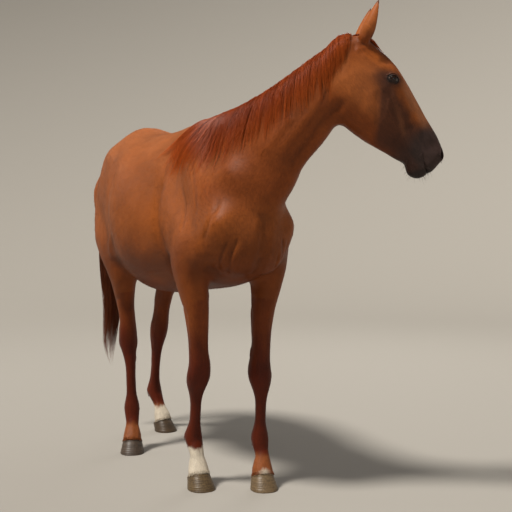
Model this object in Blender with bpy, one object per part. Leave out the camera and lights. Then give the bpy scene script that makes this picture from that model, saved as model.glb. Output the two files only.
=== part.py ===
"""A riding horse standing at rest, its neck bent to its left: a still model at life size.

X is the horse's left, Y its tail end and Z up, in metres. The body is lofted whole, joined into one
skin, shaped, made of few faces and then parted with thin cuts where its parts are named.
"""

import math

import bmesh
import bpy
import numpy as np
from mathutils import Matrix, Vector
from mathutils.bvhtree import BVHTree

# Driving dimensions. The sizes below are drawn for a horse of DRAWN_HEIGHT at the withers, and the
# whole is scaled to WITHERS_HEIGHT.
WITHERS_HEIGHT = 1.59
DRAWN_HEIGHT = 1.59
CUT = 0.0008  # gap that parts two named pieces
SKIN_VOXEL = 0.008  # grid that joins the forms into one skin
RING_POINTS = 40
BODY_FACES = 4500  # triangles left in the skin before it is parted
DETAIL = 0.00005  # how strongly the head and lower legs keep smaller faces
EYE_RADIUS = 0.0215
EYE_PLACE = (0.216, -0.006, 0.0765)  # along the face, out of it and to the side, from the poll
LEFT, RIGHT = 1, -1

# How the head is carried: where the poll is, how far the face turns left of the body and how far
# it points below level.
POLL = Vector((0.272, -1.045, 1.838))
HEAD_TURN = math.radians(68)
HEAD_DROP = math.radians(56)
HEAD_LEAN = math.radians(4)

# The bone line of each leg from the elbow or thigh down to the coronet, as (height, x, y), and
# where the middle of the hoof stands. The toe points away from the fetlock.
FORE_LINE = {
    RIGHT: (
        (1.20, -0.155, -0.500),
        (0.95, -0.176, -0.500),
        (0.76, -0.149, -0.505),
        (0.67, -0.135, -0.486),
        (0.59, -0.126, -0.474),
        (0.525, -0.118, -0.470),
        (0.46, -0.114, -0.442),
        (0.37, -0.110, -0.418),
        (0.28, -0.108, -0.406),
        (0.205, -0.105, -0.381),
        (0.155, -0.107, -0.412),
        (0.070, -0.108, -0.438),
        (0.000, -0.108, -0.448),
    ),
    LEFT: (
        (1.20, 0.158, -0.530),
        (0.95, 0.180, -0.535),
        (0.80, 0.157, -0.534),
        (0.71, 0.147, -0.530),
        (0.58, 0.139, -0.536),
        (0.515, 0.136, -0.530),
        (0.475, 0.135, -0.534),
        (0.41, 0.133, -0.550),
        (0.32, 0.134, -0.545),
        (0.19, 0.135, -0.538),
        (0.137, 0.131, -0.563),
        (0.070, 0.125, -0.575),
        (0.000, 0.122, -0.585),
    ),
}
HIND_LINE = {
    RIGHT: (
        (1.25, -0.140, 0.460),
        (1.10, -0.160, 0.395),
        (1.00, -0.165, 0.355),
        (0.93, -0.162, 0.335),
        (0.85, -0.155, 0.312),
        (0.75, -0.132, 0.350),
        (0.65, -0.120, 0.350),
        (0.55, -0.112, 0.362),
        (0.50, -0.110, 0.358),
        (0.45, -0.108, 0.345),
        (0.355, -0.108, 0.336),
        (0.26, -0.107, 0.330),
        (0.200, -0.106, 0.328),
        (0.110, -0.119, 0.290),
        (0.070, -0.124, 0.280),
        (0.000, -0.127, 0.272),
    ),
    LEFT: (
        (1.25, 0.140, 0.530),
        (1.10, 0.160, 0.480),
        (1.00, 0.165, 0.455),
        (0.93, 0.165, 0.455),
        (0.85, 0.165, 0.475),
        (0.727, 0.165, 0.550),
        (0.616, 0.168, 0.592),
        (0.56, 0.170, 0.617),
        (0.50, 0.173, 0.645),
        (0.36, 0.180, 0.690),
        (0.26, 0.185, 0.716),
        (0.205, 0.187, 0.722),
        (0.114, 0.198, 0.664),
        (0.070, 0.202, 0.650),
        (0.000, 0.205, 0.640),
    ),
}
HOOF_FORE = {LEFT: (0.120, -0.596), RIGHT: (-0.108, -0.460)}
HOOF_HIND = {LEFT: (0.209, 0.630), RIGHT: (-0.131, 0.262)}
CORONET_HEIGHT = 0.051
LEG_TOP, FORE_KNEE, HOCK = 0.812, 0.430, 0.500  # heights at which the legs are parted
CORONET_TILT = math.radians(19.5)
HEEL_BEHIND = 0.029  # how far the middle of the coronet lies behind the middle of the sole
LEG_CUT_WIDE, LEG_CUT_LONG = 0.20, 0.26
FOOT_CUT = 0.150  # the leg is cut away this far below the coronet, where the hoof stands


def smooth_rows(rows, steps):
    """Rows of numbers joined by a smooth curve through each of them, steps rows for each gap."""
    rows = np.array(rows, float)
    ends = np.vstack([2 * rows[0] - rows[1], rows, 2 * rows[-1] - rows[-2]])
    made = []
    for i in range(len(rows) - 1):
        before, start, end, after = ends[i : i + 4]
        for t in np.arange(steps) / steps:
            made.append(
                0.5
                * (
                    2 * start
                    + (end - before) * t
                    + (2 * before - 5 * start + 4 * end - after) * t**2
                    + (3 * start - before - 3 * end + after) * t**3
                )
            )
    made.append(rows[-1])
    return np.array(made)


def unit(vectors):
    return vectors / np.maximum(np.linalg.norm(vectors, axis=-1, keepdims=True), 1e-9)


def add_mesh(name, points, faces):
    mesh = bpy.data.meshes.new(name)
    mesh.from_pydata([tuple(map(float, p)) for p in points], [], faces)
    mesh.update()
    made = bpy.data.objects.new(name, mesh)
    bpy.context.scene.collection.objects.link(made)
    return made


def tube(name, rings):
    """Closes a row of rings of points, all of one size, into a solid with one face at each end."""
    count, around = rings.shape[:2]
    points = rings.reshape(-1, 3)
    faces = [tuple(range(around)), tuple(range((count - 1) * around, count * around))]
    for i in range(count - 1):
        for j in range(around):
            k = (j + 1) % around
            faces.append((i * around + j, i * around + k, (i + 1) * around + k, (i + 1) * around + j))
    made = add_mesh(name, points, faces)
    bm = bmesh.new()
    bm.from_mesh(made.data)
    bmesh.ops.recalc_face_normals(bm, faces=bm.faces)
    bm.to_mesh(made.data)
    bm.free()
    return made


def loft(name, stations, steps=5):
    """A form between two outlines. Each station is (top point, bottom point, half width, height of
    the widest place as a share, fullness above it, fullness below it). Fullness 2 is an ellipse."""
    rows = smooth_rows([[*top, *bottom, *rest] for top, bottom, *rest in stations], steps)
    top, bottom = rows[:, 0:3], rows[:, 3:6]
    half_width, widest, above, below = rows[:, 6:10].T
    centre = bottom + (top - bottom) * widest[:, None]
    up = unit(top - bottom)
    side = unit(np.cross(np.gradient(centre, axis=0), up))
    angle = np.arange(RING_POINTS) * 2 * math.pi / RING_POINTS
    across, rise = np.cos(angle), np.sin(angle)
    height = np.linalg.norm(top - bottom, axis=1)
    power = 2 / np.where(rise[None, :] > 0, above[:, None], below[:, None])
    reach = np.where(rise[None, :] > 0, ((1 - widest) * height)[:, None], (widest * height)[:, None])
    out = half_width[:, None] * np.sign(across) * np.abs(across) ** power
    lift = reach * np.sign(rise) * np.abs(rise) ** power
    return tube(name, centre[:, None] + side[:, None] * out[..., None] + up[:, None] * lift[..., None])


def muscle(name, start, end, thick, flat=1.0, facing=(1, 0, 0)):
    """A long oval mass from start to end: thick is its half thickness, flat times that outwards."""
    start, end, facing = Vector(start), Vector(end), Vector(facing)
    along = (end - start).normalized()
    facing = (facing - along * facing.dot(along)).normalized()
    third = along.cross(facing)
    reach = (end - start).length / 2 + thick * 0.5
    turned = Matrix((along * reach, facing * thick * flat, third * thick)).transposed()
    bm = bmesh.new()
    bmesh.ops.create_uvsphere(bm, u_segments=24, v_segments=16, radius=1)
    bmesh.ops.rotate(bm, verts=bm.verts, matrix=Matrix.Rotation(math.pi / 2, 3, "Y"))
    for v in bm.verts:
        v.co = turned @ v.co + (start + end) / 2
    bmesh.ops.recalc_face_normals(bm, faces=bm.faces)
    mesh = bpy.data.meshes.new(name)
    bm.to_mesh(mesh)
    bm.free()
    made = bpy.data.objects.new(name, mesh)
    bpy.context.scene.collection.objects.link(made)
    return made


# --- trunk ---------------------------------------------------------------------------------------


def trunk_form():
    # place along the back, top, underline, half width, widest place, fullness above and below
    sections = (
        (-0.800, 1.165, 1.030, 0.060, 0.50, 2.0, 2.0),
        (-0.768, 1.255, 0.960, 0.120, 0.50, 2.0, 2.0),
        (-0.690, 1.370, 0.895, 0.160, 0.48, 2.0, 2.0),
        (-0.560, 1.480, 0.856, 0.185, 0.46, 1.8, 2.1),
        (-0.420, 1.565, 0.840, 0.205, 0.42, 1.5, 2.1),
        (-0.310, 1.592, 0.830, 0.225, 0.41, 1.45, 2.1),
        (-0.160, 1.572, 0.815, 0.262, 0.42, 1.7, 2.1),
        (-0.040, 1.560, 0.803, 0.285, 0.44, 1.9, 2.15),
        (0.080, 1.565, 0.803, 0.297, 0.46, 2.0, 2.15),
        (0.210, 1.595, 0.835, 0.282, 0.48, 2.0, 2.1),
        (0.340, 1.628, 0.900, 0.250, 0.50, 1.9, 2.0),
        (0.460, 1.615, 0.980, 0.228, 0.50, 1.8, 2.0),
        (0.590, 1.570, 1.060, 0.192, 0.50, 1.8, 2.0),
        (0.700, 1.505, 1.110, 0.150, 0.52, 1.8, 2.0),
        (0.765, 1.450, 1.160, 0.105, 0.52, 2.0, 2.0),
        (0.795, 1.380, 1.220, 0.055, 0.50, 2.0, 2.0),
    )
    return loft("trunk", [((0, y, top), (0, y, low), *rest) for y, top, low, *rest in sections])


def trunk_muscles():
    made = []
    for side in (LEFT, RIGHT):
        stifle = {LEFT: 0.400, RIGHT: 0.290}[side]
        elbow = {LEFT: -0.440, RIGHT: -0.415}[side]
        # start, end, half thickness, and the share of it that the mass has outwards
        masses = {
            "shoulder_blade": ((0.105, -0.34, 1.44), (0.158, -0.64, 1.14), 0.105, 0.55),
            "shoulder_point": ((0.135, -0.68, 1.17), (0.150, -0.70, 1.07), 0.085, 0.75),
            "upper_arm": ((0.150, -0.66, 1.10), (0.180, -0.54, 0.97), 0.095, 0.70),
            "triceps": ((0.170, -0.36, 1.20), (0.180, elbow, 0.99), 0.105, 0.55),
            "breast": ((0.070, -0.71, 1.12), (0.085, -0.68, 0.95), 0.095, 0.9),
            "neck_base": ((0.040, -0.74, 1.26), (0.100, -0.62, 1.30), 0.100, 0.8),
            "loin": ((0.075, 0.02, 1.46), (0.100, 0.34, 1.53), 0.070, 0.9),
            "hip": ((0.188, 0.28, 1.44), (0.140, 0.47, 1.47), 0.066, 0.8),
            "croup": ((0.085, 0.36, 1.48), (0.090, 0.62, 1.42), 0.110, 0.85),
            "thigh": ((0.130, 0.43, 1.30), (0.150, stifle + 0.12, 1.06), 0.150, 0.62),
            "buttock": ((0.085, 0.67, 1.38), (0.115, 0.665, 1.20), 0.115, 0.75),
            "hamstring": ((0.110, 0.665, 1.26), (0.130, stifle + 0.24, 1.00), 0.105, 0.72),
            "flank": ((0.180, 0.14, 1.03), (0.170, stifle, 1.02), 0.085, 0.7),
        }
        for name, (start, end, thick, flat) in masses.items():
            made.append(
                muscle(
                    name,
                    (side * start[0], *start[1:]),
                    (side * end[0], *end[1:]),
                    thick,
                    flat,
                    (side, 0, 0),
                )
            )
    return made


# --- neck and head -------------------------------------------------------------------------------


def head_frame():
    """The matrix that carries head coordinates (along the face, out of the face, to the left) to
    the body's own."""
    turn, drop = HEAD_TURN, HEAD_DROP
    along = Vector((math.sin(turn) * math.cos(drop), -math.cos(turn) * math.cos(drop), -math.sin(drop)))
    left = Vector((math.cos(turn), math.sin(turn), 0))
    out = along.cross(left)
    lean = Matrix.Rotation(HEAD_LEAN, 3, along)
    return Matrix.Translation(POLL) @ Matrix((along, lean @ out, lean @ left)).transposed().to_4x4()


def head_form():
    frame = head_frame()
    # forehead and nose line, jaw line, half width, widest place, fullness above and below
    sections = (
        ((-0.050, -0.060), (0.040, -0.190), 0.058, 0.52, 2.0, 2.0),
        ((0.000, -0.005), (0.120, -0.232), 0.070, 0.56, 2.0, 2.2),
        ((0.060, 0.030), (0.215, -0.245), 0.080, 0.62, 2.1, 2.4),
        ((0.120, 0.047), (0.285, -0.238), 0.088, 0.68, 2.2, 2.5),
        ((0.200, 0.054), (0.340, -0.215), 0.092, 0.72, 2.3, 2.4),
        ((0.280, 0.052), (0.390, -0.190), 0.077, 0.68, 2.3, 2.3),
        ((0.360, 0.049), (0.435, -0.166), 0.060, 0.60, 2.2, 2.2),
        ((0.430, 0.048), (0.478, -0.146), 0.052, 0.54, 2.1, 2.2),
        ((0.490, 0.047), (0.518, -0.134), 0.051, 0.50, 2.2, 2.2),
        ((0.535, 0.040), (0.553, -0.132), 0.053, 0.50, 2.3, 2.2),
        ((0.567, 0.020), (0.582, -0.125), 0.049, 0.50, 2.3, 2.2),
        ((0.590, -0.010), (0.597, -0.108), 0.038, 0.50, 2.2, 2.2),
        ((0.598, -0.040), (0.600, -0.085), 0.015, 0.50, 2.0, 2.0),
    )
    stations = [
        (frame @ Vector((*top, 0)), frame @ Vector((*low, 0)), *rest) for top, low, *rest in sections
    ]
    return loft("head", stations)


def head_masses():
    frame = head_frame()
    masses = {
        # start and end in head coordinates, half thickness, and the share of it outwards
        "cheek": ((0.115, -0.095, 0.054), (0.225, -0.170, 0.048), 0.076, 0.46),
        "brow": ((0.182, 0.008, 0.062), (0.242, 0.000, 0.064), 0.029, 0.90),
        "crest": ((0.265, -0.026, 0.072), (0.350, -0.022, 0.052), 0.015, 0.8),
        "nostril": ((0.545, 0.010, 0.033), (0.572, -0.012, 0.032), 0.026, 0.9),
        "lip": ((0.555, -0.040, 0.020), (0.580, -0.045, 0.018), 0.030, 1.0),
        "chin": ((0.550, -0.112, 0.006), (0.568, -0.108, 0.006), 0.027, 1.2),
        "ear_root": ((0.020, -0.020, 0.044), (0.045, 0.000, 0.046), 0.030, 0.8),
    }
    made = []
    for side in (LEFT, RIGHT):
        for name, (start, end, thick, flat) in masses.items():
            ends = [frame @ Vector((a, b, side * c)) for a, b, c in (start, end)]
            facing = frame.to_3x3() @ Vector((0, 0, side))
            made.append(muscle(name, *ends, thick, flat, facing))
    return made


def neck_form():
    frame = head_frame()
    throat = frame @ Vector((0.235, -0.250, 0))
    # crest, underline, half width, widest place, fullness above and below
    sections = (
        ((0.000, -0.180, 1.535), (0.000, -0.560, 0.960), 0.125, 0.50, 1.7, 2.0),
        ((0.000, -0.300, 1.578), (0.000, -0.720, 1.040), 0.140, 0.50, 1.7, 2.0),
        ((0.002, -0.430, 1.594), (0.030, -0.815, 1.150), 0.130, 0.46, 1.6, 2.0),
        ((0.012, -0.570, 1.610), (0.082, -0.862, 1.236), 0.112, 0.44, 1.6, 2.0),
        ((0.038, -0.690, 1.642), (0.110, -0.892, 1.312), 0.096, 0.42, 1.6, 2.0),
        ((0.086, -0.800, 1.695), (0.150, -0.930, 1.382), 0.086, 0.42, 1.7, 2.0),
        ((0.148, -0.905, 1.764), (0.184, -0.972, 1.440), 0.080, 0.44, 1.8, 2.0),
        ((0.212, -0.995, 1.818), tuple(throat), 0.074, 0.48, 1.9, 2.1),
        (tuple(POLL), tuple(frame @ Vector((0.28, -0.20, 0))), 0.065, 0.50, 2.0, 2.1),
    )
    return loft("neck", sections)


# --- legs ----------------------------------------------------------------------------------------


def toe_direction(side, hoof, line):
    """Level direction from the fetlock to the hoof's middle."""
    fetlock = min(line[side], key=lambda row: abs(row[0] - 0.20))
    return Vector((hoof[side][0] - fetlock[1], hoof[side][1] - fetlock[2], 0)).normalized()


def leg_form(name, rows, line, toe):
    """A leg from rows of (height, reach in front, reach behind, half width) round a bone line given
    as (height, x, y). It faces as the toe does at the foot, and straight ahead at the top."""
    line = smooth_rows(sorted(line), 12)
    stations = []
    for height, front, behind, half_width in rows:
        x, y = (np.interp(height, line[:, 0], line[:, i]) for i in (1, 2))
        bone = Vector((x, y, height))
        forward = toe.lerp(Vector((0, -1, 0)), min(1, max(0, height - 0.5) * 2)).normalized()
        widest = behind / (front + behind)
        stations.append((bone + forward * front, bone - forward * behind, half_width, widest, 2.2, 2.2))
    return loft(name, stations, 8)


def foreleg(side):
    rows = (
        (1.160, 0.080, 0.080, 0.060),
        (1.040, 0.105, 0.115, 0.074),
        (0.950, 0.098, 0.118, 0.076),
        (0.870, 0.080, 0.088, 0.067),
        (0.780, 0.064, 0.066, 0.058),
        (0.690, 0.053, 0.053, 0.050),
        (0.620, 0.046, 0.047, 0.044),
        (0.570, 0.044, 0.046, 0.043),
        (0.530, 0.045, 0.050, 0.048),
        (0.485, 0.048, 0.053, 0.053),
        (0.445, 0.046, 0.048, 0.049),
        (0.410, 0.034, 0.041, 0.036),
        (0.370, 0.027, 0.039, 0.0275),
        (0.320, 0.025, 0.038, 0.0250),
        (0.270, 0.026, 0.039, 0.0265),
        (0.235, 0.032, 0.046, 0.034),
        (0.200, 0.037, 0.051, 0.040),
        (0.168, 0.032, 0.041, 0.035),
        (0.130, 0.031, 0.035, 0.033),
        (0.100, 0.038, 0.039, 0.041),
        (0.070, 0.045, 0.046, 0.047),
        (0.035, 0.042, 0.040, 0.044),
    )
    return leg_form("foreleg", rows, FORE_LINE[side], toe_direction(side, HOOF_FORE, FORE_LINE))


def hindleg(side):
    rows = (
        (1.300, 0.170, 0.220, 0.072),
        (1.150, 0.190, 0.225, 0.085),
        (1.040, 0.165, 0.208, 0.092),
        (0.950, 0.128, 0.165, 0.086),
        (0.870, 0.095, 0.120, 0.070),
        (0.800, 0.074, 0.094, 0.058),
        (0.730, 0.056, 0.074, 0.047),
        (0.670, 0.047, 0.070, 0.042),
        (0.625, 0.047, 0.074, 0.043),
        (0.580, 0.050, 0.068, 0.047),
        (0.530, 0.047, 0.056, 0.046),
        (0.480, 0.036, 0.045, 0.036),
        (0.430, 0.029, 0.040, 0.0285),
        (0.360, 0.026, 0.038, 0.0260),
        (0.280, 0.027, 0.040, 0.0280),
        (0.240, 0.033, 0.048, 0.036),
        (0.205, 0.037, 0.051, 0.041),
        (0.168, 0.032, 0.041, 0.036),
        (0.130, 0.031, 0.035, 0.034),
        (0.100, 0.038, 0.039, 0.042),
        (0.070, 0.045, 0.046, 0.047),
        (0.035, 0.042, 0.040, 0.044),
    )
    return leg_form("hindleg", rows, HIND_LINE[side], toe_direction(side, HOOF_HIND, HIND_LINE))


def hoof_frame(side, place, line):
    """Matrix from a hoof's own axes, toe forward along x and up along z, to the body's."""
    toe = toe_direction(side, place, line)
    across = Vector((0, 0, 1)).cross(toe)
    turned = Matrix((toe, across, (0, 0, 1))).transposed().to_4x4()
    return Matrix.Translation((*place[side], 0)) @ turned


def hoof_form(name, frame):
    """A horn cone cut square below, its upper rim tilted up to the front."""
    around = 22
    angle = np.arange(around) * 2 * math.pi / around
    across = np.sign(np.sin(angle)) * np.abs(np.sin(angle)) ** 0.85
    along = np.cos(angle)
    rings = []
    for rise in (0, 0.05, 0.92, 1.0):
        # length, width and middle of the rim at this share of the way up
        flare = 1 - rise - (0.02 if rise in (0, 1) else 0)
        half_length = 0.0455 + 0.0150 * flare
        half_width = 0.0460 + 0.0125 * flare
        middle = -HEEL_BEHIND + 0.034 * (1 - rise)
        x = middle + along * half_length
        y = across * half_width
        top = CORONET_HEIGHT + (x + HEEL_BEHIND) * math.tan(CORONET_TILT) - CUT / 2
        rings.append(np.stack([x, y, rise * top], axis=1))
    matrix = np.array(frame)
    return tube(name, np.array(rings) @ matrix[:3, :3].T + matrix[:3, 3])


# --- one skin ------------------------------------------------------------------------------------


def applied(obj, *modifiers):
    """The object's mesh with these modifiers, given as (type, settings), taken into it."""
    for kind, settings in modifiers:
        modifier = obj.modifiers.new(kind.lower(), kind)
        for key, value in settings.items():
            setattr(modifier, key, value)
    graph = bpy.context.evaluated_depsgraph_get()
    mesh = bpy.data.meshes.new_from_object(obj.evaluated_get(graph))
    obj.modifiers.clear()
    old = obj.data
    obj.data = mesh
    bpy.data.meshes.remove(old)
    return obj


def joined(name, objects):
    """These objects' faces in one mesh."""
    bm = bmesh.new()
    for obj in objects:
        bm.from_mesh(obj.data)
        bpy.data.objects.remove(obj)
    mesh = bpy.data.meshes.new(name)
    bm.to_mesh(mesh)
    bm.free()
    made = bpy.data.objects.new(name, mesh)
    bpy.context.scene.collection.objects.link(made)
    return made


def read_points(mesh):
    points = np.empty(len(mesh.vertices) * 3)
    mesh.vertices.foreach_get("co", points)
    return points.reshape(-1, 3)


def smoothed(mesh, rounds, share):
    """Moves each point towards the middle of its neighbours. share, from 0 to 1, is given for each
    point from the mesh's points."""
    points = read_points(mesh)
    edges = np.empty(len(mesh.edges) * 2, np.int64)
    mesh.edges.foreach_get("vertices", edges)
    a, b = edges.reshape(-1, 2).T
    degree = np.bincount(np.concatenate([a, b]), minlength=len(points))[:, None]
    weight = share(points)[:, None]
    for _ in range(rounds):
        total = np.stack(
            [
                np.bincount(a, points[b, k], len(points)) + np.bincount(b, points[a, k], len(points))
                for k in range(3)
            ],
            axis=1,
        )
        points = points + weight * (total / degree - points)
    mesh.vertices.foreach_set("co", points.ravel())
    mesh.update()


def strokes():
    """Folds and bulges drawn on the skin: (path, reach, height), height below 0 being a groove.
    Sides are given for the left and mirrored, except where the legs stand differently."""
    made = []
    for side in (LEFT, RIGHT):
        at = {LEFT: 0, RIGHT: 1}[side]
        elbow = (-0.455, -0.430)[at]
        stifle = (0.400, 0.290)[at]
        drawn = (
            # behind the shoulder, from the withers to the elbow
            (((0.150, -0.22, 1.48), (0.235, -0.28, 1.30), (0.235, elbow + 0.13, 1.05)), 0.035, -0.007),
            (((0.200, elbow + 0.10, 0.96), (0.150, elbow + 0.12, 0.90)), 0.028, -0.012),
            # in front of the shoulder blade
            (((0.100, -0.50, 1.50), (0.150, -0.66, 1.33), (0.150, -0.76, 1.20)), 0.036, -0.006),
            # between the shoulder blade's spine and the upper arm
            (((0.190, -0.44, 1.30), (0.215, -0.56, 1.14), (0.200, -0.66, 1.04)), 0.028, -0.004),
            # breast muscle against the arm, and the fold down its front
            (((0.110, -0.78, 1.12), (0.120, -0.74, 1.00), (0.105, -0.68, 0.92)), 0.022, -0.008),
            (((0.030, -0.80, 1.10), (0.034, -0.78, 1.00), (0.030, -0.72, 0.92)), 0.024, 0.008),
            # flank hollow and the fold to the stifle
            (((0.230, 0.20, 1.34), (0.250, 0.22, 1.22), (0.215, stifle - 0.10, 1.08)), 0.055, -0.009),
            (((0.215, stifle - 0.06, 1.10), (0.190, stifle - 0.07, 1.00)), 0.030, 0.008),
            # thigh against the hamstrings
            (((0.180, 0.62, 1.32), (0.215, 0.60, 1.15), (0.200, stifle + 0.20, 1.00)), 0.026, -0.006),
            # point of the hip, and the hollow before it
            (((0.225, 0.31, 1.45), (0.215, 0.35, 1.46)), 0.040, 0.007),
            # stifle
            (((0.215, stifle - 0.03, 1.03), (0.205, stifle - 0.02, 0.99)), 0.035, 0.008),
        )
        for path, reach, height in drawn:
            made.append(([(side * x, y, z) for x, y, z in path], reach, height))
    # groove down the middle of the breast
    made.append(([(0, -0.82, 1.14), (0, -0.80, 1.00), (0, -0.72, 0.90)], 0.016, -0.010))
    frame = head_frame()
    for side in (LEFT, RIGHT):
        drawn = (
            # neck: groove of the great vein, and the bulge of the muscle above it
            (((0.185, -0.225, 0.060), (0.225, -0.330, 0.075), (0.300, -0.500, 0.095)), 0.022, -0.009),
            # behind the cheek
            (((0.045, -0.120, 0.070), (0.090, -0.200, 0.060), (0.150, -0.250, 0.045)), 0.018, -0.010),
            # below the eye, under the facial crest
            (((0.250, -0.050, 0.075), (0.330, -0.055, 0.060), (0.400, -0.050, 0.050)), 0.020, -0.006),
            # hollow over the eye
            (((0.150, 0.022, 0.056), (0.140, 0.012, 0.060)), 0.018, -0.006),
            # nostril, and the dip behind it
            (((0.562, 0.014, 0.052), (0.572, -0.006, 0.050)), 0.012, -0.008),
            (((0.515, 0.020, 0.045), (0.500, -0.010, 0.050)), 0.018, -0.005),
            # corner of the mouth and its line
            (((0.530, -0.064, 0.050), (0.570, -0.072, 0.040), (0.602, -0.070, 0.014)), 0.009, -0.007),
            # chin groove
            (((0.515, -0.135, 0.020), (0.512, -0.140, 0.000)), 0.018, -0.006),
        )
        for path, reach, height in drawn:
            made.append(([tuple(frame @ Vector((a, b, side * c))) for a, b, c in path], reach, height))
    return made


def drawn_on(mesh, made):
    """Presses the strokes into the mesh, or raises them from it, along its own normals."""
    points = read_points(mesh)
    normals = np.empty(len(points) * 3)
    mesh.vertices.foreach_get("normal", normals)
    normals = normals.reshape(-1, 3)
    shift = np.zeros(len(points))
    for path, reach, height in made:
        line = smooth_rows(path, 10)
        line = np.array([points[np.argmin(((points - p) ** 2).sum(1))] for p in line])
        near = np.where(((points > line.min(0) - 3 * reach) & (points < line.max(0) + 3 * reach)).all(1))[0]
        apart = ((points[near, None] - line[None]) ** 2).sum(2).min(1)
        shift[near] += height * np.exp(-apart / reach**2)
    mesh.vertices.foreach_set("co", (points + normals * shift[:, None]).ravel())
    mesh.update()


def whole_body():
    forms = [trunk_form(), neck_form(), head_form(), *trunk_muscles(), *head_masses()]
    for side in (LEFT, RIGHT):
        forms += [foreleg(side), hindleg(side)]
    body = joined("body", forms)
    applied(body, ("REMESH", {"mode": "VOXEL", "voxel_size": SKIN_VOXEL}))

    def share(points):
        # thin lower legs and the face keep their shape
        legs = np.clip((points[:, 2] - 0.55) / 0.35, 0.06, 1)
        face = np.clip((np.linalg.norm(points - np.array(POLL), axis=1) - 0.10) / 0.10, 0, 1)
        ahead = np.clip((points[:, 0] - 0.25) / 0.08, 0, 1)
        return 0.6 * legs * (1 - 0.85 * face * ahead)

    smoothed(body.data, 60, share)
    drawn_on(body.data, strokes())
    smoothed(body.data, 4, lambda points: np.full(len(points), 0.4))
    return body


def few_faces(body):
    """Makes the skin of large faces, smallest on the head and the lower legs."""
    points = read_points(body.data)
    head = np.array(head_frame().inverted())
    local = points @ head[:3, :3].T + head[:3, 3]
    on_head = (local[:, 0] > -0.06) & (local[:, 1] > -0.30) & (points[:, 0] > 0.15)
    group = body.vertex_groups.new(name="plain")
    fine = np.flatnonzero(on_head | (points[:, 2] < 0.70))
    coarse = np.setdiff1d(np.arange(len(points)), fine)
    group.add([int(i) for i in coarse], 1.0, "REPLACE")
    group.add([int(i) for i in fine], 0.5, "REPLACE")
    settings = {"ratio": BODY_FACES / (2 * len(body.data.polygons)), "use_collapse_triangulate": True}
    settings.update(vertex_group="plain", vertex_group_factor=DETAIL)
    applied(body, ("DECIMATE", settings))
    body.vertex_groups.clear()


# --- ears, eyes, mane and tail -------------------------------------------------------------------


def ear_form(side):
    """A leaf rolled into a cup, open to the front and standing up from the poll."""
    frame = head_frame().to_3x3()
    root = head_frame() @ Vector((0.034, -0.006, side * 0.047))
    axis = (frame @ Vector((-0.640, 0.768, side * 0.15))).normalized()
    front = frame @ Vector((0.768, 0.640, side * 0.20))
    front = (front - axis * front.dot(axis)).normalized()
    across = axis.cross(front)
    length = 0.156
    # share of the length, half width, how far round the leaf goes, share left hollow
    rows = (
        (-0.06, 0.020, 172, 0.02),
        (0.03, 0.025, 165, 0.30),
        (0.24, 0.0315, 138, 0.78),
        (0.38, 0.0310, 128, 0.84),
        (0.52, 0.0280, 120, 0.85),
        (0.66, 0.0230, 115, 0.83),
        (0.79, 0.0165, 112, 0.78),
        (0.90, 0.0095, 110, 0.66),
        (1.00, 0.0015, 106, 0.20),
    )
    rings = []
    for share, half_width, reach, hollow in rows:
        reach = math.radians(reach)
        middle = root + axis * (share * length) + front * (0.012 * math.sin(share * 2.4))
        turn = np.linspace(-reach, reach, 10)
        ring = [
            middle + (across * math.sin(a) - front * math.cos(a)) * half_width * scale
            for angles, scale in ((turn, 1), (turn[::-1], hollow))
            for a in angles
        ]
        rings.append([tuple(point) for point in ring])
    return tube("ear", np.array(rings))


def eye_centre(side):
    along, out, aside = EYE_PLACE
    return head_frame() @ Vector((along, out, side * aside))


def ball(name, centre, radius, segments, rings):
    bm = bmesh.new()
    bmesh.ops.create_uvsphere(bm, u_segments=segments, v_segments=rings, radius=radius)
    bmesh.ops.translate(bm, verts=bm.verts, vec=centre)
    mesh = bpy.data.meshes.new(name)
    bm.to_mesh(mesh)
    bm.free()
    made = bpy.data.objects.new(name, mesh)
    bpy.context.scene.collection.objects.link(made)
    return made


def tail_form():
    # height, x, y, half width, half depth
    rows = smooth_rows(
        (
            (1.480, 0.000, 0.730, 0.022, 0.020),
            (1.455, 0.000, 0.775, 0.027, 0.024),
            (1.405, -0.006, 0.822, 0.033, 0.027),
            (1.300, -0.020, 0.846, 0.046, 0.036),
            (1.150, -0.034, 0.844, 0.057, 0.042),
            (1.000, -0.038, 0.838, 0.061, 0.043),
            (0.850, -0.030, 0.832, 0.059, 0.041),
            (0.700, -0.022, 0.830, 0.053, 0.037),
            (0.560, -0.030, 0.832, 0.050, 0.028),
            (0.460, -0.040, 0.828, 0.048, 0.022),
            (0.390, -0.036, 0.826, 0.030, 0.014),
            (0.345, -0.030, 0.824, 0.008, 0.005),
        ),
        1,
    )
    angle = np.arange(14) * 2 * math.pi / 14
    rings = []
    path = rows[:, [1, 2, 0]]
    ahead = unit(np.gradient(path, axis=0))
    for i, (_, _, _, half_width, half_depth) in enumerate(rows):
        across = unit(np.cross((0, 1, 0.01), ahead[i]))
        deep = np.cross(ahead[i], across)
        ring = np.cos(angle)[:, None] * half_width * across + np.sin(angle)[:, None] * half_depth * deep
        rings.append(path[i] + ring)
    return tube("tail", np.array(rings))


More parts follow.
